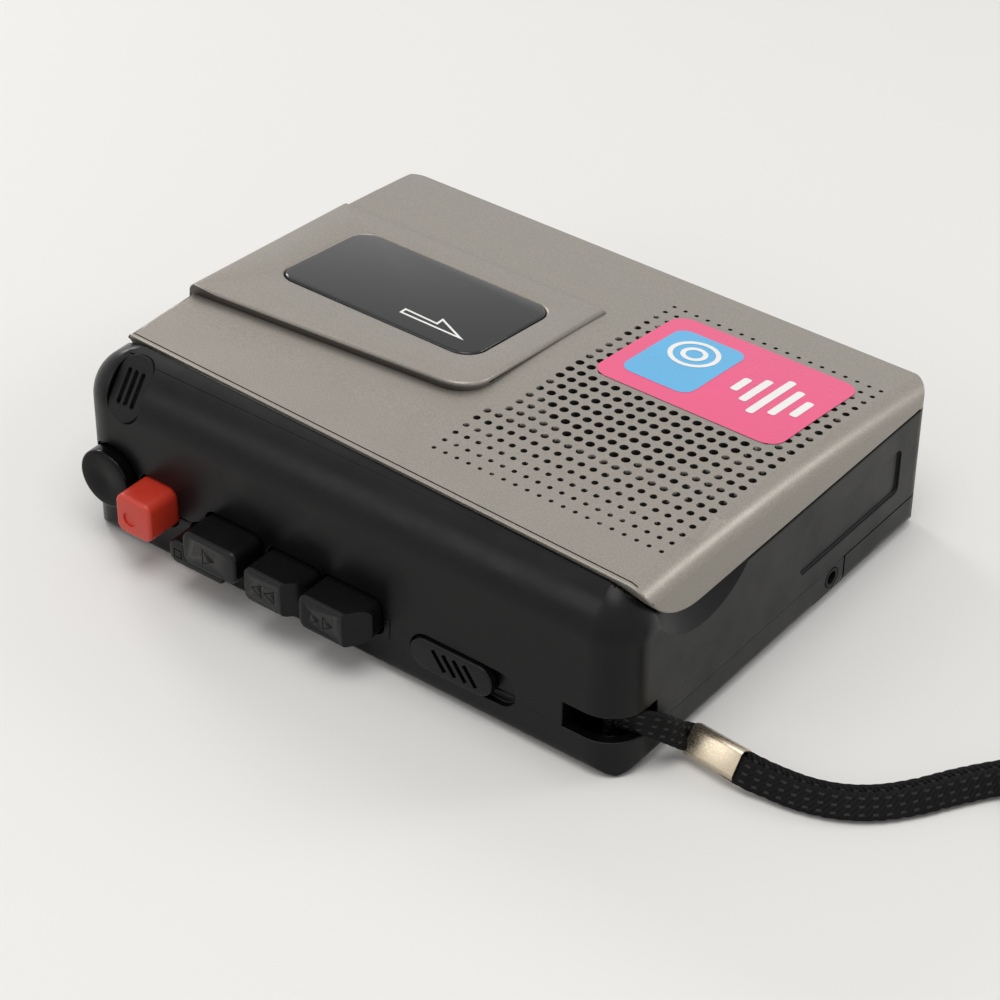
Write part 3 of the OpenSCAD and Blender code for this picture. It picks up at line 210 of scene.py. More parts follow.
def moulded(slotName, name, hexCode, rough, grainMm, grainDepth, mottle=0.06, spread=0.08, specular=0.5):
    # fine spark-eroded grain in the bump, cloudy gloss, faint colour drift
    tree, shader, place = newFinish(slotName, name, hexCode, rough)
    shader.inputs["Specular IOR Level"].default_value = specular
    grain = addNode(tree, "ShaderNodeTexNoise", {"Scale": perMetre(grainMm), "Detail": 2.0, "Roughness": 0.6},
                    {"Vector": place})
    cloud = addNode(tree, "ShaderNodeTexNoise", {"Scale": perMetre(9), "Detail": 4.0, "Roughness": 0.65},
                    {"Vector": place})
    gloss = addNode(tree, "ShaderNodeMapRange",
                    {"From Min": 0.3, "From Max": 0.7, "To Min": rough - spread, "To Max": rough + spread},
                    {"Value": cloud.outputs["Fac"]})
    tree.links.new(gloss.outputs[0], shader.inputs["Roughness"])
    drift = addNode(tree, "ShaderNodeMapRange",
                    {"From Min": 0.25, "From Max": 0.75, "To Min": 1.0 - mottle, "To Max": 1.0 + mottle},
                    {"Value": cloud.outputs["Fac"]})
    tone = addNode(tree, "ShaderNodeVectorMath", {"operation": "SCALE", 0: linear(hexCode)[:3]},
                   {"Scale": drift.outputs[0]})
    tree.links.new(tone.outputs[0], shader.inputs["Base Color"])
    bump = addNode(tree, "ShaderNodeBump", {"Strength": 0.5, "Distance": grainDepth * mm},
                   {"Height": grain.outputs["Fac"]})
    tree.links.new(bump.outputs[0], shader.inputs["Normal"])
    return tree, shader, place


def speckle(tree, shader, place, flakeMm, spread):
    # paint flakes, drawn a little coarser than real ones so that they show
    flakes = addNode(tree, "ShaderNodeTexNoise", {"Scale": perMetre(flakeMm), "Detail": 1.0},
                     {"Vector": place})
    level = addNode(tree, "ShaderNodeMapRange",
                    {"From Min": 0.35, "From Max": 0.65, "To Min": 1.0 - spread, "To Max": 1.0 + spread},
                    {"Value": flakes.outputs["Fac"]})
    before = shader.inputs["Base Color"].links[0].from_socket
    tone = addNode(tree, "ShaderNodeVectorMath", {"operation": "SCALE"},
                   {0: before, "Scale": level.outputs[0]})
    tree.links.new(tone.outputs[0], shader.inputs["Base Color"])


def shadeRecesses(tree, shader):
    # painted shade: ambient occlusion darkens the paint's colour in the holes and at the foot of the panel
    recessed = addNode(tree, "ShaderNodeAmbientOcclusion",
                       {"Distance": 2.2 * mm, "only_local": True, "samples": 8})
    shade = addNode(tree, "ShaderNodeMapRange",
                    {"From Min": 0.35, "From Max": 0.95, "To Min": 0.22, "To Max": 1.0},
                    {"Value": recessed.outputs["AO"]})
    # painted shade: steep walls that face the front, behind the front edge, are darkened, so the panel's near
    # wall shows dark
    local = addNode(tree, "ShaderNodeTexCoord")
    facing = addNode(tree, "ShaderNodeSeparateXYZ", links={"Vector": local.outputs["Normal"]})
    steepShade = addNode(tree, "ShaderNodeMapRange",
                   {"From Min": -0.95, "From Max": -0.35, "To Min": 0.38, "To Max": 1.0},
                   {"Value": facing.outputs["Y"]})
    where = addNode(tree, "ShaderNodeSeparateXYZ", links={"Vector": local.outputs["Object"]})
    behind = addNode(tree, "ShaderNodeMapRange", {"From Min": -30 * mm, "From Max": -27 * mm},
                     {"Value": where.outputs["Y"]})
    nearWallShade = addNode(tree, "ShaderNodeMix", {"data_type": "FLOAT", 2: 1.0},
                    {0: behind.outputs[0], 3: steepShade.outputs[0]})
    dark = addNode(tree, "ShaderNodeMath", {"operation": "MULTIPLY"},
                   {0: shade.outputs[0], 1: nearWallShade.outputs[0]})
    # the painted shade of the holes, the panel's foot and its near wall scales the paint's colour
    painted = shader.inputs["Base Color"].links[0].from_socket
    shadedPaint = addNode(tree, "ShaderNodeVectorMath", {"operation": "SCALE"},
                    {0: painted, "Scale": dark.outputs[0]})
    tree.links.new(shadedPaint.outputs[0], shader.inputs["Base Color"])


def weave(tree, shader):
    # cross ribs of a flat braid, with pale threads that come up in two rows
    band = addNode(tree, "ShaderNodeUVMap", {"uv_map": "band"})
    parts = addNode(tree, "ShaderNodeSeparateXYZ", links={"Vector": band.outputs[0]})
    twill = addNode(tree, "ShaderNodeTexWave", {"Scale": 0.6, "Distortion": 0.6, "Detail": 1.0,
                                                "bands_direction": "DIAGONAL"}, {"Vector": band.outputs[0]})
    # thread pitch in mm along and across the band, and the share of the pitch that is pale
    masks = []
    for axis, pitch, share in (("X", 2.1, 0.42), ("Y", 1.3, 0.3)):
        turn = addNode(tree, "ShaderNodeMath", {"operation": "PINGPONG", 1: pitch / 2},
                       {0: parts.outputs[axis]})
        masks.append(addNode(tree, "ShaderNodeMath", {"operation": "LESS_THAN", 1: pitch / 2 * share},
                             {0: turn.outputs[0]}))
    thread = addNode(tree, "ShaderNodeMath", {"operation": "MULTIPLY"},
                     {0: masks[0].outputs[0], 1: masks[1].outputs[0]})
    colour = addNode(tree, "ShaderNodeMix",
                     {"data_type": "RGBA", 6: linear("#0A0A0B"), 7: linear("#2E2D2B")},
                     {0: thread.outputs[0]})
    tree.links.new(colour.outputs[2], shader.inputs["Base Color"])
    bump = addNode(tree, "ShaderNodeBump", {"Strength": 0.7, "Distance": 0.12 * mm},
                   {"Height": twill.outputs["Fac"]})
    tree.links.new(bump.outputs[0], shader.inputs["Normal"])


def metal(slotName, name, hexCode, rough, lineMm, stretch=(1, 1, 1), depth=0.004):
    # drawn or turned metal: fine lines in the gloss and bump
    tree, shader, place = newFinish(slotName, name, hexCode, rough, metallic=1.0)
    mapped = addNode(tree, "ShaderNodeMapping", {"Scale": stretch}, {"Vector": place})
    lines = addNode(tree, "ShaderNodeTexNoise", {"Scale": perMetre(lineMm), "Detail": 3.0},
                    {"Vector": mapped.outputs[0]})
    gloss = addNode(tree, "ShaderNodeMapRange",
                    {"From Min": 0.3, "From Max": 0.7, "To Min": rough - 0.08, "To Max": rough + 0.1},
                    {"Value": lines.outputs["Fac"]})
    tree.links.new(gloss.outputs[0], shader.inputs["Roughness"])
    bump = addNode(tree, "ShaderNodeBump", {"Strength": 0.4, "Distance": depth * mm},
                   {"Height": lines.outputs["Fac"]})
    tree.links.new(bump.outputs[0], shader.inputs["Normal"])


def makeFinishes():
    # moulded ABS, satin spark texture: charcoal with soft wide highlights
    moulded("charcoal_case", "charcoalAbsSatin", "#060607", 0.33, 0.35, 0.01, specular=0.2)
    # ABS with silver metallic paint: warm grey with a fine sparkle of flakes
    tree, shader, place = moulded("silver_lid", "silverPaintedAbs", "#938D85", 0.4, 0.3, 0.006, 0.02, 0.04,
                                  specular=0.3)
    shader.inputs["Metallic"].default_value = 0.55
    speckle(tree, shader, place, 0.3, 0.09)
    # painted shade on the lid: darker in the holes, at the panel's foot and on its near wall
    shadeRecesses(tree, shader)
    # smoked acrylic: dark, polished, half see-through
    tree, shader, place = moulded("smoked_pane", "smokedAcrylic", "#242527", 0.08, 2.0, 0.001, 0.04, 0.03,
                                  specular=0.4)
    shader.inputs["IOR"].default_value = 1.49
    shader.inputs["Transmission Weight"].default_value = 0.55
    # keys: moulded ABS, glossier than the case
    moulded("key_plastic", "keyAbs", "#0D0D0E", 0.28, 0.3, 0.005, specular=0.2)
    moulded("red_key", "redKeyAbs", "#BE3422", 0.36, 0.3, 0.005, 0.04)
    # polished ABS: near black, with a clear reflection
    moulded("dial_plastic", "dialGlossAbs", "#070708", 0.1, 0.3, 0.002, 0.06, 0.03, specular=0.12)
    # matt mouldings inside the case, and small ones in cream and red
    moulded("inner_plastic", "innerAbsMatt", "#101011", 0.5, 0.4, 0.01, specular=0.18)
    moulded("cream_plastic", "acetalCream", "#DDD9CC", 0.4, 0.5, 0.006, 0.03)
    moulded("red_plastic", "redPolystyrene", "#8E2B26", 0.35, 0.4, 0.006)
    # drawn and rolled steel: bright, with lines along the draw
    metal("bright_steel", "brightDrawnSteel", "#C9CACB", 0.25, 0.4, (1, 6, 6))
    metal("spring_steel", "springSteel", "#B4B6B5", 0.3, 0.4, (1, 6, 1))
    # black lacquer on pressed steel: dull, with a faint orange peel
    moulded("dark_steel", "lacqueredSteelPlate", "#2A2A2C", 0.48, 0.8, 0.01)
    # sintered bronze and turned zinc: warm and dull, cool and ringed
    metal("bronze", "sinteredBronze", "#B08A45", 0.42, 0.25)
    metal("flywheel_metal", "turnedZinc", "#AEB0B2", 0.3, 0.35, (1, 1, 8))
    # rubber, phenolic board, pulp paper and ferrite: all matt
    moulded("black_rubber", "blackRubber", "#1A1A1B", 0.7, 0.4, 0.02)
    moulded("board_laminate", "phenolicLaminate", "#A57F45", 0.5, 0.5, 0.006)
    moulded("paper_cone", "pulpPaper", "#1B1B1D", 0.85, 0.5, 0.03)
    moulded("magnet_ferrite", "ferrite", "#4A4B4E", 0.6, 0.3, 0.01)
    # flat braided nylon: black, silky, with short pale threads
    tree, shader, place = moulded("braid", "braidedNylon", "#0A0A0B", 0.6, 0.3, 0.02, specular=0.12)
    weave(tree, shader)
    # nickel on folded brass: pale, warm, polished by handling
    metal("crimp_metal", "nickelBrassCrimp", "#BBAE99", 0.28, 0.5, (1, 4, 4))
    # gloss vinyl print on the lid: two flat inks and white
    for slotName, hexCode in inks.items():
        moulded(slotName, slotName + "Vinyl", hexCode, 0.3, 0.6, 0.002, 0.03, 0.05)
    print("finishes:", len(finishes))


def dressCadNodes():
    for name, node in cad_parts.items():
        for slot in node.material_slots:
            # the loudspeaker's frame is lacquered dark, so that nothing shines through the holes
            finish = "dark_steel" if name == "speaker_frame" else slot.material.name.split(".")[0]
            slot.material = finishes[finish]
    print("CAD nodes dressed:", len(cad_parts))


# Wrist strap: one flat braid from the corner slot through the crimp, round the loop and back into the crimp
strap = {
    "width": 4.6,
    "thick": 1.3,
    "station": 0.5,  # mm from one section to the next
    "rib": 2.1,  # mm from one cross rib to the next
    # place in mm and lean in degrees
    "route": [
        (52.2, -39.6, 9.45, 90), (54.6, -39.3, 9.45, 90), (57, -38.4, 9.3, 85), (58.9, -36.2, 7.8, 75),
        (59.7, -33.8, 5.6, 65), (60.3, -32.2, 4.1, 58), (61, -31.1, 3.4, 55),
        (71, -32.5, 3, 55), (76, -32, 2.6, 55), (82, -31, 2.35, 55), (87.5, -28.9, 2.35, 55),
        (92.3, -25.4, 2.35, 55), (96.4, -20.4, 2.35, 55), (100.2, -14.4, 2.35, 55), (104.2, -9, 2.35, 55),
        (109, -6.2, 2.35, 55), (116, -6.5, 2.35, 55), (125, -9.4, 2.35, 58), (134.5, -11.4, 2.4, 66),
        (142.5, -9.4, 2.4, 76), (146.6, -3.4, 2.4, 86), (145, 3, 2.4, 96), (138.5, 6.4, 2.4, 106),
        (129.5, 6.8, 2.4, 116), (120, 5, 2.35, 122), (113, 1.6, 2.35, 125), (107.6, -2.8, 2.35, 125),
        (103.1, -7.7, 2.35, 125), (98.9, -13.4, 2.35, 125), (95.1, -19.4, 2.35, 125),
        (91.1, -24.2, 2.35, 125), (86.6, -27.5, 2.35, 125), (81.5, -29.4, 2.35, 125), (75.8, -30.4, 2.6, 125),
        (71, -30.85, 3, 125), (64, -31.0, 3.3, 125),
    ],
}
crimp = {
    "start": (61, -31, 3.3),
    "end": (71, -31.7, 3.25),
    "lean": 55,  # degrees
    "wide": 5.4,
    "high": 3.4,
    "sheet": 0.4,
    "corner": 1.0,
    "lip": 0.1,
    "short": 0.2,  # mm that the fold stops short of start and end together
}


def smoothRoute(points, stationMm):
    # Catmull-Rom through the points, four numbers each, at even stations
    dense = []
    for i in range(len(points) - 1):
        a, b, c, d = [Vector(points[min(max(k, 0), len(points) - 1)]) for k in (i - 1, i, i + 1, i + 2)]
        for k in range(24):
            t = k / 24
            dense.append(0.5 * (2 * b + (c - a) * t + (2 * a - 5 * b + 4 * c - d) * t ** 2
                                + (3 * b - a - 3 * c + d) * t ** 3))
    dense.append(Vector(points[-1]))
    route, walked = [dense[0]], 0.0
    for before, after in zip(dense, dense[1:]):
        walked += (after - before).xyz.length
        if walked >= stationMm:
            route.append(after)
            walked = 0.0
    return route


def leanFrame(route, i):
    # the band's own directions at one station: across its width and out of its face
    ahead = (route[min(i + 1, len(route) - 1)] - route[max(i - 1, 0)]).xyz.normalized()
    side = ahead.cross(Vector((0, 0, 1))).normalized()
    top = side.cross(ahead)
    lean = math.radians(route[i][3])
    across = side * math.cos(lean) - top * math.sin(lean)
    up = top * math.cos(lean) + side * math.sin(lean)
    return across, up


def makeStrap(crimpPiece):
    route = smoothRoute(strap["route"], strap["station"])
    bm = bmesh.new()
    ring = bmesh.ops.create_circle(bm, segments=24, radius=1.0)["verts"]
    turns = [v.co.copy() for v in ring]
    halfWide, halfThick = strap["width"] / 2, strap["thick"] / 2
    walked, spots = 0.0, {}
    for i, station in enumerate(route):
        if i:
            walked += (station - route[i - 1]).xyz.length
            edges = [e for e in bm.edges if e.verts[0] in rim and e.verts[1] in rim]
            bmesh.ops.extrude_edge_only(bm, edges=edges)
            ring = [next(e.other_vert(v) for e in v.link_edges if e.other_vert(v) not in spots) for v in ring]
        rim = set(ring)
        across, up = leanFrame(route, i)
        # a squarish oval that swells between the cross grooves
        swell = abs(math.sin(math.pi * walked / strap["rib"])) ** 0.5
        for turn, vert in zip(turns, ring):
            wide = halfWide * math.copysign(abs(turn.x) ** 0.45, turn.x) * (0.93 + 0.07 * swell)
            thick = halfThick * math.copysign(abs(turn.y) ** 0.6, turn.y) * (0.8 + 0.2 * swell)
            vert.co = station.xyz + across * wide + up * thick
            spots[vert] = (walked, wide)
    bmesh.ops.holes_fill(bm, edges=bm.edges, sides=0)
    uv = bm.loops.layers.uv.new("band")
    for face in bm.faces:
        for loop in face.loops:
            loop[uv].uv = spots[loop.vert]
    piece = makePiece(bm, "wristStrap", "cabinet", "braid", sharpAngle=80, recalc=True)
    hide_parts("strap_anchor", "strap_loop")
    print("strap:", round(walked), "mm")


def makeCrimp():
    # a strip of sheet metal folded round the two strands
    start, end = Vector(crimp["start"]), Vector(crimp["end"])
    way = end - start
    bm = bmesh.new()
    bmesh.ops.create_cube(bm, size=1.0)
    bmesh.ops.scale(bm, vec=(way.length - crimp["short"], crimp["wide"], crimp["high"]), verts=bm.verts)
    longEdges = [e for e in bm.edges if abs(e.verts[0].co.x - e.verts[1].co.x) > 1]
    bmesh.ops.bevel(bm, geom=longEdges, offset=crimp["corner"], affect="EDGES", segments=5, profile=0.5,
                    material=-1)
    ends = [f for f in bm.faces if abs(f.normal.x) > 0.9]
    bmesh.ops.delete(bm, geom=ends, context="FACES")
    bmesh.ops.solidify(bm, geom=bm.faces[:], thickness=crimp["sheet"])
    lips = [e for e in bm.edges if e.calc_face_angle(0) > 0.8]
    bmesh.ops.bevel(bm, geom=lips, offset=crimp["lip"], affect="EDGES", segments=2, profile=0.5, material=-1)
    turn = Matrix.Rotation(math.atan2(way.y, way.x), 4, "Z")
    turn = turn @ Matrix.Rotation(-math.asin(way.z / way.length), 4, "Y")
    turn = turn @ Matrix.Rotation(math.radians(crimp["lean"]), 4, "X")
    bmesh.ops.transform(bm, matrix=Matrix.Translation((start + end) / 2) @ turn, verts=bm.verts)
    piece = makePiece(bm, "strapCrimp", "cabinet", "crimp_metal", recalc=True)
    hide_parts("strap_crimp")
    print("crimp:", round(way.length), "mm")
    return piece


# Rounded copies of the mouldings
mouldings = {
    # node: piece, body, slot, edge radius in mm, and the bend in degrees from which an edge is rounded
    "front_cabinet": ("frontCabinet", "cabinet", "charcoal_case", 0.2, 50),
    "rear_cabinet": ("rearCabinet", "cabinet", "charcoal_case", 0.25, 35),
    "window_pane": ("windowPane", "lid", "smoked_pane", 0.45, 50),
    "mic_grille": ("micGrille", "cabinet", "inner_plastic", 0.12, 50),
}


def cleanCopy(bm, flat=0.3):
    # specks of the CAD's triangles would stop the bevel short
    bmesh.ops.remove_doubles(bm, verts=bm.verts, dist=0.03)
    bmesh.ops.dissolve_degenerate(bm, edges=bm.edges, dist=0.03)
    bmesh.ops.dissolve_limit(bm, angle_limit=math.radians(flat), verts=bm.verts, edges=bm.edges)


def roundEdges(bm, edges, radius, segments=3):
    bmesh.ops.bevel(bm, geom=edges, offset=radius, offset_type="OFFSET", affect="EDGES", segments=segments,
                    profile=0.5, clamp_overlap=False, loop_slide=True, material=-1)


def sharpEdges(bm, bend=35):
    return [e for e in bm.edges if len(e.link_faces) == 2 and e.calc_face_angle(0) > math.radians(bend)]


def trueNormals(mesh, normalAt):
    # long thin triangles shade unevenly: faces wholly on a known form get its normals, square flats
    # their own, and upright walls stay level; each kind ends in sharp edges, so none bleeds into the next
    normals = [corner.vector.copy() for corner in mesh.corner_normals]
    beside = {}
    for face in mesh.polygons:
        kind = "known"
        known = [normalAt(mesh.vertices[v].co / mm) for v in face.vertices]
        if not all(known) and max(abs(n) for n in face.normal) > 0.9999:
            kind = "flat"
            known = [face.normal.copy()] * len(face.vertices)
        if not all(known) and abs(face.normal.z) < 0.01:
            kind = "wall"
            level = [(normals[loop] * Vector((1, 1, 0))).normalized() for loop in face.loop_indices]
            known = [n if n.dot(face.normal) > 0.8 else face.normal.copy() for n in level]
        if all(known):
            for loop, normal in zip(face.loop_indices, known):
                normals[loop] = normal
        else:
            kind = "other"
        for key in face.edge_keys:
            beside.setdefault(key, set()).add(kind)
    for edge in mesh.edges:
        if len(beside.get(edge.key, ())) > 1:
            edge.use_edge_sharp = True
    mesh.normals_split_custom_set(normals)


shoulder = {"y": -36.0, "z": 26.0, "radius": 9.0}  # mm, the long round between the front and the lid


def shoulderNormal(spot):
    out, up = spot.y - shoulder["y"], spot.z - shoulder["z"]
    if up > -0.1 and out < 0.1 and abs(math.hypot(out, up) - shoulder["radius"]) < 0.05:
        return Vector((0, out, up)).normalized()
    return None


def makeMouldings():
    for node, (name, body, slotName, radius, bend) in mouldings.items():
        bm = startBmesh(node)
        cleanCopy(bm)
        roundEdges(bm, sharpEdges(bm, bend), radius)
        piece = makePiece(bm, name, body, slotName)
        if body == "cabinet":
            trueNormals(piece.data, shoulderNormal)
        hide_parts(node)
    print("mouldings:", len(mouldings))


def carve(bm, cutters):
    # a boolean difference, applied straight away
    shapes = []
    for name, source in (("carved", bm), ("cutter", cutters)):
        mesh = bpy.data.meshes.new(name)
        source.to_mesh(mesh)
        source.free()
        shapes.append(bpy.data.objects.new(name, mesh))
        scene.collection.objects.link(shapes[-1])
    modifier = shapes[0].modifiers.new("carve", "BOOLEAN")
    modifier.object = shapes[1]
    modifier.operation = "DIFFERENCE"
    modifier.solver = "MANIFOLD"
    graph = bpy.context.evaluated_depsgraph_get()
    done = bpy.data.meshes.new_from_object(shapes[0].evaluated_get(graph))
    result = bmesh.new()
    result.from_mesh(done)
    for mesh in [done] + [shape.data for shape in shapes]:
        bpy.data.meshes.remove(mesh)
    return result


# Keys and pause slider: caps with a rolled front edge, and signs engraved as fine outlines
keys = {
    "line": 0.3,  # width of an engraved line
    "deep": 0.3,
    "inner": -43.0,  # y of the cap's end inside the cabinet
    "overlap": 0.4,  # mm of the shank inside the cap
    "under": 15.95,  # a hair below the deck that the record key slides beneath
    "rollSteps": 6,
    "rec_key": {
        "name": "recKey", "body": "rec", "slot": "red_key", "face": -51.5,
        # corners as x, z and radius
        "outline": [(-43, 8.3, 1.7), (-35.2, 8.3, 1.7), (-35.2, 15.95, 1.7), (-43, 15.95, 1.7)],
        # signs as x, z, size, sides and turn in degrees
        "signs": [(-39.9, 11.6, 1.4, 24, 0)],
        "pillow": (0.6, 0.8),  # how far the front edge rolls over, across the face and along the key
    },
    "stop_key": {
        "name": "stopKey", "body": "stop", "slot": "key_plastic", "face": -50.7,
        "outline": [(-31.8, 6.6, 1.6), (-20, 6.6, 0.8), (-20, 8.25, 0.5), (-28.35, 8.25, 1.2),
                    (-28.35, 11.2, 0.6), (-31.8, 11.2, 1.5)],
        "signs": [(-29.9, 8.7, 1.25, 4, 45)],
        "pillow": (0.35, 0.6),
    },
    "play_key": {
        "name": "playKey", "body": "play", "slot": "key_plastic", "face": -51.5,
        "outline": [(-28, 8.6, 1.6), (-16.2, 8.6, 1.6), (-16.2, 15, 1.6), (-28, 15, 1.6)],
        "signs": [(-22.6, 11.6, 1.9, 3, 0)],
        "pillow": (0.5, 0.75),
    },
    "rewind_key": {
        "name": "rewindKey", "body": "rewind", "slot": "key_plastic", "face": -51.5,
        "outline": [(-14.6, 7.2, 1.6), (-3.4, 7.2, 1.6), (-3.4, 14, 1.6), (-14.6, 14, 1.6)],
        "signs": [(-11.4, 10.4, 1.5, 3, 180), (-8.6, 10.4, 1.5, 3, 180)],
        "pillow": (0.5, 0.75),
        # the right front corner is cut: turn in degrees and depth
        "corner": (45, 2.2),
    },
    "forward_key": {
        "name": "forwardKey", "body": "forward", "slot": "key_plastic", "face": -51.5,
        "outline": [(-2.8, 7.2, 1.6), (9.4, 7.2, 1.6), (9.4, 14, 1.6), (-2.8, 14, 1.6)],
        "signs": [(0.4, 10.4, 1.5, 3, 0), (3.2, 10.4, 1.5, 3, 0)],
        "pillow": (0.5, 0.75),
        "corner": (35, 2.4),
    },
    "pause_slider": {
        "name": "pauseSlider", "body": "pause", "slot": "key_plastic", "face": -45.6,
        "outline": [(15.7, 5.3, 2.95), (32.3, 5.3, 2.95), (32.3, 11.3, 2.95), (15.7, 11.3, 2.95)],
        "pillow": (0.3, 0.3),
        "inner": -44.1,
        # thumb grooves: places along x, middle z, width, length, depth and lean in degrees
        "grooves": ((21.6, 23.7, 25.8, 27.9), 8.3, 0.9, 4.2, 0.7, -36),
    },
}


def joinInto(target, source):
    mesh = bpy.data.meshes.new("joined")
    source.to_mesh(mesh)
    source.free()
    target.from_mesh(mesh)
    bpy.data.meshes.remove(mesh)


def thicken(bm, way):
    # extrude all faces into a closed solid
    made = bmesh.ops.extrude_face_region(bm, geom=bm.faces[:])["geom"]
    bmesh.ops.translate(bm, vec=way, verts=[g for g in made if isinstance(g, bmesh.types.BMVert)])
    bmesh.ops.recalc_face_normals(bm, faces=bm.faces)


def cutOff(bm, spot, outward):
    # cut off what lies outside a plane, and close the cut
    bmesh.ops.bisect_plane(bm, geom=bm.verts[:] + bm.edges[:] + bm.faces[:], dist=1e-4, plane_co=spot,
                           plane_no=outward, clear_outer=True)
    bmesh.ops.holes_fill(bm, edges=[e for e in bm.edges if e.is_boundary], sides=0)
    bmesh.ops.recalc_face_normals(bm, faces=bm.faces)


def signCutters(faceY, signs):
    # prisms round the outline of each sign; the round one is a full recess
    cutters = bmesh.new()
    for x, z, size, sides, turn in signs:
        bm = bmesh.new()
        bmesh.ops.create_circle(bm, cap_ends=True, segments=sides, radius=size)
        if sides < 6:
            middle = bm.faces[:]
            bmesh.ops.inset_region(bm, faces=middle, thickness=keys["line"], use_boundary=True)
            bmesh.ops.delete(bm, geom=middle, context="FACES_ONLY")
        thicken(bm, (0, 0, 2))
        # a circle's first corner lies on +Y, and the face looks along -Y
        place = Matrix.Translation((x, faceY + keys["deep"], z)) @ Matrix.Rotation(math.radians(90), 4, "X")
        place = place @ Matrix.Rotation(math.radians(turn - 90), 4, "Z")
        bmesh.ops.transform(bm, matrix=place, verts=bm.verts)
        joinInto(cutters, bm)
    return cutters


def grooveCutters(faceY, places, z, wide, long, deep, lean):
    cutters = bmesh.new()
    for x in places:
        place = Matrix.Translation((x, faceY, z)) @ Matrix.Rotation(math.radians(lean), 4, "Y")
        bmesh.ops.create_cube(cutters, size=1, matrix=place @ Matrix.Diagonal((wide, 2 * deep, long, 1)))
    return cutters


def makeKeys():
    made = [node for node in keys if node.endswith(("_key", "_slider"))]
    for node in made:
        key = keys[node]
        faceY = key["face"]
        wide, deep = key["pillow"]
        inner = key.get("inner", keys["inner"])
        bm = bmesh.new()
        corners = [bm.verts.new((x, faceY + deep, z)) for x, z, radius in key["outline"]]
        bm.faces.new(corners)
        for corner, (x, z, radius) in zip(corners, key["outline"]):
            bmesh.ops.bevel(bm, geom=[corner], offset=radius, affect="VERTICES", segments=6, profile=0.5,
                            material=-1)
        thicken(bm, (0, inner - faceY - deep, 0))
        cap = min((f for f in bm.faces if len(f.verts) > 12), key=lambda f: f.calc_center_median().y)
        # the front edge rolls over in a quarter of an ellipse
        steps = [math.pi / 2 * k / keys["rollSteps"] for k in range(keys["rollSteps"] + 1)]
        for before, after in zip(steps, steps[1:]):
            bmesh.ops.inset_region(bm, faces=[cap], thickness=wide * (math.cos(before) - math.cos(after)))
            bmesh.ops.translate(bm, vec=(0, deep * (math.sin(before) - math.sin(after)), 0), verts=cap.verts)
        if "corner" in key:
            turn, cut = key["corner"]
            out = Vector((math.cos(math.radians(turn)), -math.sin(math.radians(turn)), 0))
            right = Vector((max(x for x, z, radius in key["outline"]), faceY, 0))
            cutOff(bm, right - out * cut, out)
        if "grooves" in key:
            bm = carve(bm, grooveCutters(faceY, *key["grooves"]))
        if "signs" in key:
            bm = carve(bm, signCutters(faceY, key["signs"]))
        # the shank behind the cap, from the CAD
        shank = startBmesh(node)
        cutOff(shank, (0, inner - keys["overlap"], 0), (0, -1, 0))
        for vert in shank.verts:
            vert.co.z = min(vert.co.z, keys["under"])
        joinInto(bm, shank)
        piece = makePiece(bm, key["name"], key["body"], key["slot"], sharpAngle=30)
        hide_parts(node)
    print("keys:", len(made))


# Volume dial: a smooth gloss disc, knurled only at its rim
dial = {
    "round": 0.55,
    "dish": 0.5,  # how far the middle of the face sinks
    "knurl": 60,
    "back": 0.012,  # share of the radius that every other rib stands back
}


def makeDial():
    low, high = [Vector(corner) * 1000 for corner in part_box("volume_dial")]
    middle, radius = (low + high) / 2, (high.z - low.z) / 2
    bm = startBmesh("volume_dial")
    # the disc goes, the shaft stays
    disc = [v for v in bm.verts if math.hypot(v.co.x - middle.x, v.co.z - middle.z) > radius * 0.5]
    thick = max(v.co.y for v in disc) - low.y
    bmesh.ops.delete(bm, geom=disc, context="VERTS")
    bmesh.ops.delete(bm, geom=[v for v in bm.verts if v.co.y < low.y + 0.01], context="VERTS")
    bmesh.ops.holes_fill(bm, edges=[e for e in bm.edges if e.is_boundary], sides=0)
    place = Matrix.Translation((middle.x, low.y + thick / 2, middle.z))
    place = place @ Matrix.Rotation(math.radians(90), 4, "X")
    made = set(bmesh.ops.create_cone(bm, cap_ends=True, segments=dial["knurl"] * 2, radius1=radius,
                                     radius2=radius, depth=thick, matrix=place)["verts"])
    fronts = [f for f in bm.faces if len(f.verts) > 20 and f.normal.y < -0.9]
    face = next(f for f in fronts if all(v in made for v in f.verts))
    bmesh.ops.bevel(bm, geom=list(face.edges), offset=dial["round"], affect="EDGES", segments=4, profile=0.5,
                    material=-1)
    fronts = [f for f in bm.faces if len(f.verts) > 20 and f.normal.y < -0.9]
    face = max(fronts, key=lambda f: f.calc_area())
    for k in range(4):
        bmesh.ops.inset_region(bm, faces=[face], thickness=radius * 0.2)
        sink = dial["dish"] * (math.cos(math.pi * (3 - k) / 4) + 1) / 8
        bmesh.ops.translate(bm, vec=(0, sink, 0), verts=face.verts)
    # every other rib of the rim stands back a little
    for vert in bm.verts:
        out = Vector((vert.co.x - middle.x, vert.co.z - middle.z))
        if out.length > radius - 0.02:
            step = round(math.atan2(out.y, out.x) / math.pi * dial["knurl"])
            if step % 2:
                vert.co.x -= out.x * dial["back"]
                vert.co.z -= out.y * dial["back"]
    piece = makePiece(bm, "volumeDial", "volume", "dial_plastic", recalc=True)
    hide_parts("volume_dial")
    print("dial radius:", round(radius, 2), "mm")


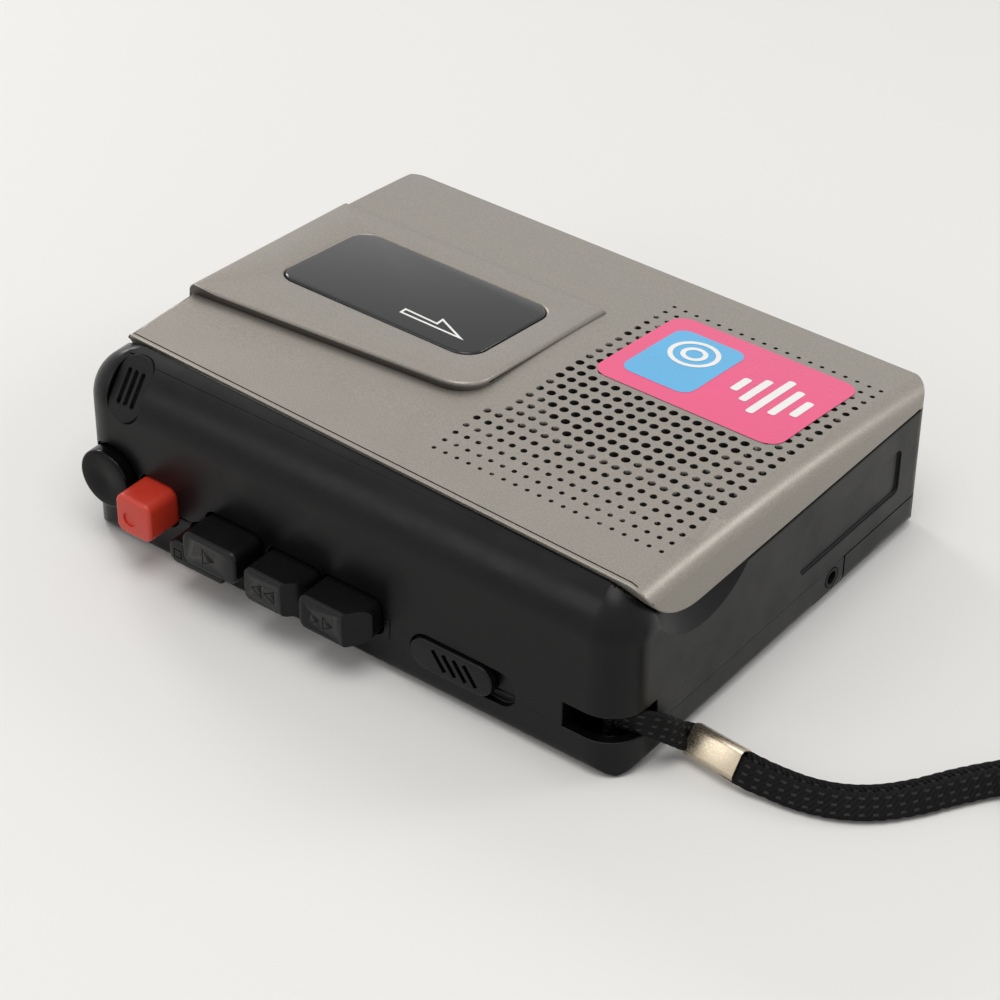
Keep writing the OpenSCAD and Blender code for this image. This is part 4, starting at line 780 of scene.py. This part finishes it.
# Lid and speaker field: one moulding, with through holes over the speaker and blind dimples all round them
lidSet = {
    "crown": (540.0, -38.0, 35.46),  # radius, y and z of the highest line
    "wall": 1.6,
    "opening": (28.0, 4.0, 19.55),  # x, y and radius of the CAD's round opening
    "strip": 1.5,  # mm from one line of the crown to the next where the opening is closed
    "panelFall": 6.2,  # degrees
    "lipRound": 0.8,
    "frameRound": 0.6,  # round the window
    "edgeRound": 0.35,
    "hingeSide": 40,  # y from which the edges stay as the CAD has them
    "window": (-46.5, -2, -7, 19),  # lowest and highest x, then y
    "columns": (8.11, 2.34, 20),  # first x, pitch and count
    "rows": (-29.6, 2.8, 24),  # first y, pitch and count
    "firstColumn": 6,  # rows in the first column, which ends where the panel's corner begins
    "fadeRows": 5,  # rows over which the holes grow to full size
    "holeReach": 18.2,  # from the middle of the speaker
    "holeRadius": 0.8,
    "dimpleRadius": 0.72,
    "outerRadius": 0.42,  # in the outermost rows
    "dimpleDeep": 1.0,
    "endRound": (52.6, 4.5),  # x of the middle, and radius, of the round at the right end
    "groove": (0.26, 0.45, -36.75, -2.1),  # width, depth, y on the middle line and turn in degrees
}


def crownAt(y, depth=0.0):
    radius, middle, top = lidSet["crown"]
    return top - radius + math.sqrt((radius - depth) ** 2 - (y - middle) ** 2)


def closeOpening(bm):
    # the disc of holes is a CAD node of its own; here its opening is closed flush with the crown
    x, y, radius = lidSet["opening"]

    def onWall(vert):
        return abs(math.hypot(vert.co.x - x, vert.co.y - y) - radius) < 0.04

    wall = [f for f in bm.faces if abs(f.normal.z) < 0.5 and all(onWall(v) for v in f.verts)]
    bmesh.ops.delete(bm, geom=wall, context="FACES")
    rims = [e for e in bm.edges if e.is_boundary]
    patches = bmesh.ops.edgeloop_fill(bm, edges=rims)["faces"]
    for face in patches:
        face.material_index = 1
    rimVerts = {v for e in rims for v in e.verts}
    line = y - radius + lidSet["strip"]
    while line < y + radius:
        faces = [f for f in bm.faces if f.material_index == 1]
        parts = {g for f in faces for g in [f, *f.edges, *f.verts]}
        bmesh.ops.bisect_plane(bm, geom=list(parts), dist=1e-4, plane_co=(0, line, 0), plane_no=(0, 1, 0))
        line += lidSet["strip"]
    for face in bm.faces:
        if face.material_index == 1:
            face.material_index = 0
            for vert in face.verts:
                if vert not in rimVerts:
                    low = vert.co.z < crownAt(vert.co.y, lidSet["wall"] / 2)
                    vert.co.z = crownAt(vert.co.y, lidSet["wall"] if low else 0.0)
    bmesh.ops.recalc_face_normals(bm, faces=bm.faces)


def dimpleCutters():
    cutters = bmesh.new()
    middleX, middleY, radius = lidSet["opening"]
    firstX, pitchX, columns = lidSet["columns"]
    firstY, pitchY, rows = lidSet["rows"]
    for i in range(columns):
        for j in range(rows):
            x, y = firstX + i * pitchX, firstY + j * pitchY
            if i == 0 and j >= lidSet["firstColumn"]:
                continue
            spot = Matrix.Translation((x, y, crownAt(y)))
            if math.hypot(x - middleX, y - middleY) < lidSet["holeReach"]:
                bmesh.ops.create_cone(cutters, cap_ends=True, segments=14, radius1=lidSet["holeRadius"],
                                      radius2=lidSet["holeRadius"], depth=4.0,
                                      matrix=spot @ Matrix.Translation((0, 0, -1.5)))
            else:
                grow = min(1.0, min(j, rows - 1 - j) / lidSet["fadeRows"])
                size = lidSet["outerRadius"] + (lidSet["dimpleRadius"] - lidSet["outerRadius"]) * grow
                # a blind hole with a slightly tapered wall
                deep = lidSet["dimpleDeep"] * (0.6 + 0.4 * grow)
                spot = spot @ Matrix.Translation((0, 0, 0.15 - deep / 2))
                bmesh.ops.create_cone(cutters, cap_ends=True, segments=12, radius1=size * 0.86,
                                      radius2=size * 1.04, depth=deep + 0.3, matrix=spot)
    # the fine groove along the near edge
    wide, deep, y, turn = lidSet["groove"]
    spot = Matrix.Translation((0, y, crownAt(y) - deep + 1.5)) @ Matrix.Rotation(math.radians(turn), 4, "Z")
    bmesh.ops.create_cube(cutters, size=1.0, matrix=spot @ Matrix.Diagonal((130, wide, 3, 1)))
    return cutters


def lidNormal(spot):
    # the crown's arc, and the round at the right end, which meets it in a soft edge
    radius, middle, top = lidSet["crown"]
    way = Vector((0, spot.y - middle, spot.z - top + radius))
    far = way.length
    way.normalize()
    if abs(far - radius) < 0.02:
        return way
    endX, endRadius = lidSet["endRound"]
    out, up = spot.x - endX, far - radius + endRadius - 0.1
    if out > 0 and up > -0.1 and abs(math.hypot(out, up) - endRadius) < 0.03:
        start = math.acos(1 - 0.1 / endRadius)
        turn = max(0.0, math.atan2(out, up) - start) / (math.pi / 2 - start) * math.pi / 2
        return way * math.cos(turn) + Vector((math.sin(turn), 0, 0))
    return None


def makeLid():
    bm = startBmesh("lid_cover")
    closeOpening(bm)
    cleanCopy(bm, 0.02)
    fall = math.radians(lidSet["panelFall"])
    panelUp = Vector((0, math.sin(fall), math.cos(fall)))
    lowX, highX, lowY, highY = lidSet["window"]
    lips, frameEdges, rest = [], [], []
    for edge in sharpEdges(bm):
        middle = (edge.verts[0].co + edge.verts[1].co) / 2
        if not edge.is_convex or middle.y > lidSet["hingeSide"]:
            continue
        onPanel = any(f.normal.dot(panelUp) > 0.9995 for f in edge.link_faces)
        byWindow = lowX < middle.x < highX and lowY < middle.y < highY
        (frameEdges if onPanel and byWindow else lips if onPanel else rest).append(edge)
    print("lid edges:", len(lips), len(frameEdges), len(rest))
    roundEdges(bm, lips, lidSet["lipRound"], 5)
    roundEdges(bm, [e for e in frameEdges if e.is_valid], lidSet["frameRound"])
    roundEdges(bm, [e for e in rest if e.is_valid], lidSet["edgeRound"])
    bm = carve(bm, dimpleCutters())
    print("lid faces:", len(bm.faces))
    piece = makePiece(bm, "speakerLid", "lid", "silver_lid")
    trueNormals(piece.data, lidNormal)
    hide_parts("lid_cover", "speaker_grille")


# Direction arrow printed on the pane: a white outline, in the panel's own sloping plane
paneArrow = {
    "origin": (0, -17, 36.902),  # mm, where the panel's plane is measured from
    # x and distance up the slope
    "corners": [(-21.37, 15.04), (-7.32, 14.9), (-14.63, 18.55), (-14.42, 16.59), (-21.5, 16.87)],
    "line": 0.42,
    "above": 0.11,  # mm from the panel's plane, just over the pane
    "thick": 0.04,
}


def makeArrow():
    bm = bmesh.new()
    bm.faces.new([bm.verts.new((x, y, paneArrow["above"])) for x, y in paneArrow["corners"]])
    bm.normal_update()
    face = bm.faces[:][0]
    bmesh.ops.inset_region(bm, faces=[face], thickness=paneArrow["line"], use_boundary=True,
                           use_even_offset=True)
    bmesh.ops.delete(bm, geom=[face], context="FACES_ONLY")
    thicken(bm, (0, 0, paneArrow["thick"]))
    turn = Matrix.Rotation(math.radians(-lidSet["panelFall"]), 4, "X")
    bmesh.ops.transform(bm, matrix=Matrix.Translation(paneArrow["origin"]) @ turn, verts=bm.verts)
    makePiece(bm, "paneArrow", "lid", "whiteInk", recalc=True)
    print("arrow corners:", len(paneArrow["corners"]))


# Vinyl label on the lid: a pink sheet, a blue tile with white rings, and white bars
label = {
    "sheet": (31.5, 19.5, 37, 27, 3.5),  # middle x and y, sizes and corner radius in mm
    "tile": (23, 19.5, 14, 19, 2.5),
    "rings": [(23, 22.5, 4.6, 0.9), (23, 22.5, 2.4, 0.9)],  # x, y, radius and line
    "bars": [(34.5, 5), (37.5, 9), (40.5, 14), (43.5, 10), (46.5, 6)],  # x and height
    "barY": 19.5,
    "barWide": 1.5,
    "barCorner": 0.5,
    "layer": 0.04,  # mm of each ink above the one below
    "lift": 0.05,  # mm of the whole label above the crown
}


def labelPatch(bm, x, y, wide, high, corner, ink, level):
    # a rounded patch that follows the crown
    rows = max(2, round(high / 3))
    made = bmesh.ops.create_grid(bm, x_segments=1, y_segments=rows, size=0.5)["verts"]
    bmesh.ops.scale(bm, vec=(wide, high, 1), verts=made)
    bmesh.ops.translate(bm, vec=(x, y, 0), verts=made)
    corners = [v for v in made if len(v.link_edges) == 2]
    for face in {f for v in made for f in v.link_faces}:
        face.material_index = ink
    if corner:
        bmesh.ops.bevel(bm, geom=corners, offset=corner, affect="VERTICES", segments=6, profile=0.5,
                        material=-1)
    for face in bm.faces:
        if face.material_index == ink:
            for vert in face.verts:
                if vert.co.z == 0:
                    vert.co.z = crownAt(vert.co.y) + label["layer"] * level + label["lift"]


def makeLabel():
    bm = bmesh.new()
    labelPatch(bm, *label["sheet"], 0, 1)
    labelPatch(bm, *label["tile"], 1, 2)
    for x, high in label["bars"]:
        labelPatch(bm, x, label["barY"], label["barWide"], high, label["barCorner"], 2, 2)
    for x, y, radius, line in label["rings"]:
        disc = bmesh.ops.create_circle(bm, cap_ends=True, segments=40, radius=radius)["verts"]
        face = disc[0].link_faces[0]
        bmesh.ops.translate(bm, vec=(x, y, 0), verts=disc)
        face.material_index = 2
        bmesh.ops.inset_region(bm, faces=[face], thickness=line, use_boundary=True)
        verts = set(disc) | set(face.verts)
        bmesh.ops.delete(bm, geom=[face], context="FACES_ONLY")
        for vert in verts:
            vert.co.z = crownAt(vert.co.y) + label["layer"] * 3 + label["lift"]
    makePiece(bm, "lidLabel", "lid", "pinkInk", more=("blueInk", "whiteInk"))
    print("label bars:", len(label["bars"]))


makeCamera()
makeStudio()
makeFinishes()
dressCadNodes()
makeStrap(makeCrimp())
makeMouldings()
makeKeys()
makeDial()
makeLid()
makeArrow()
makeLabel()
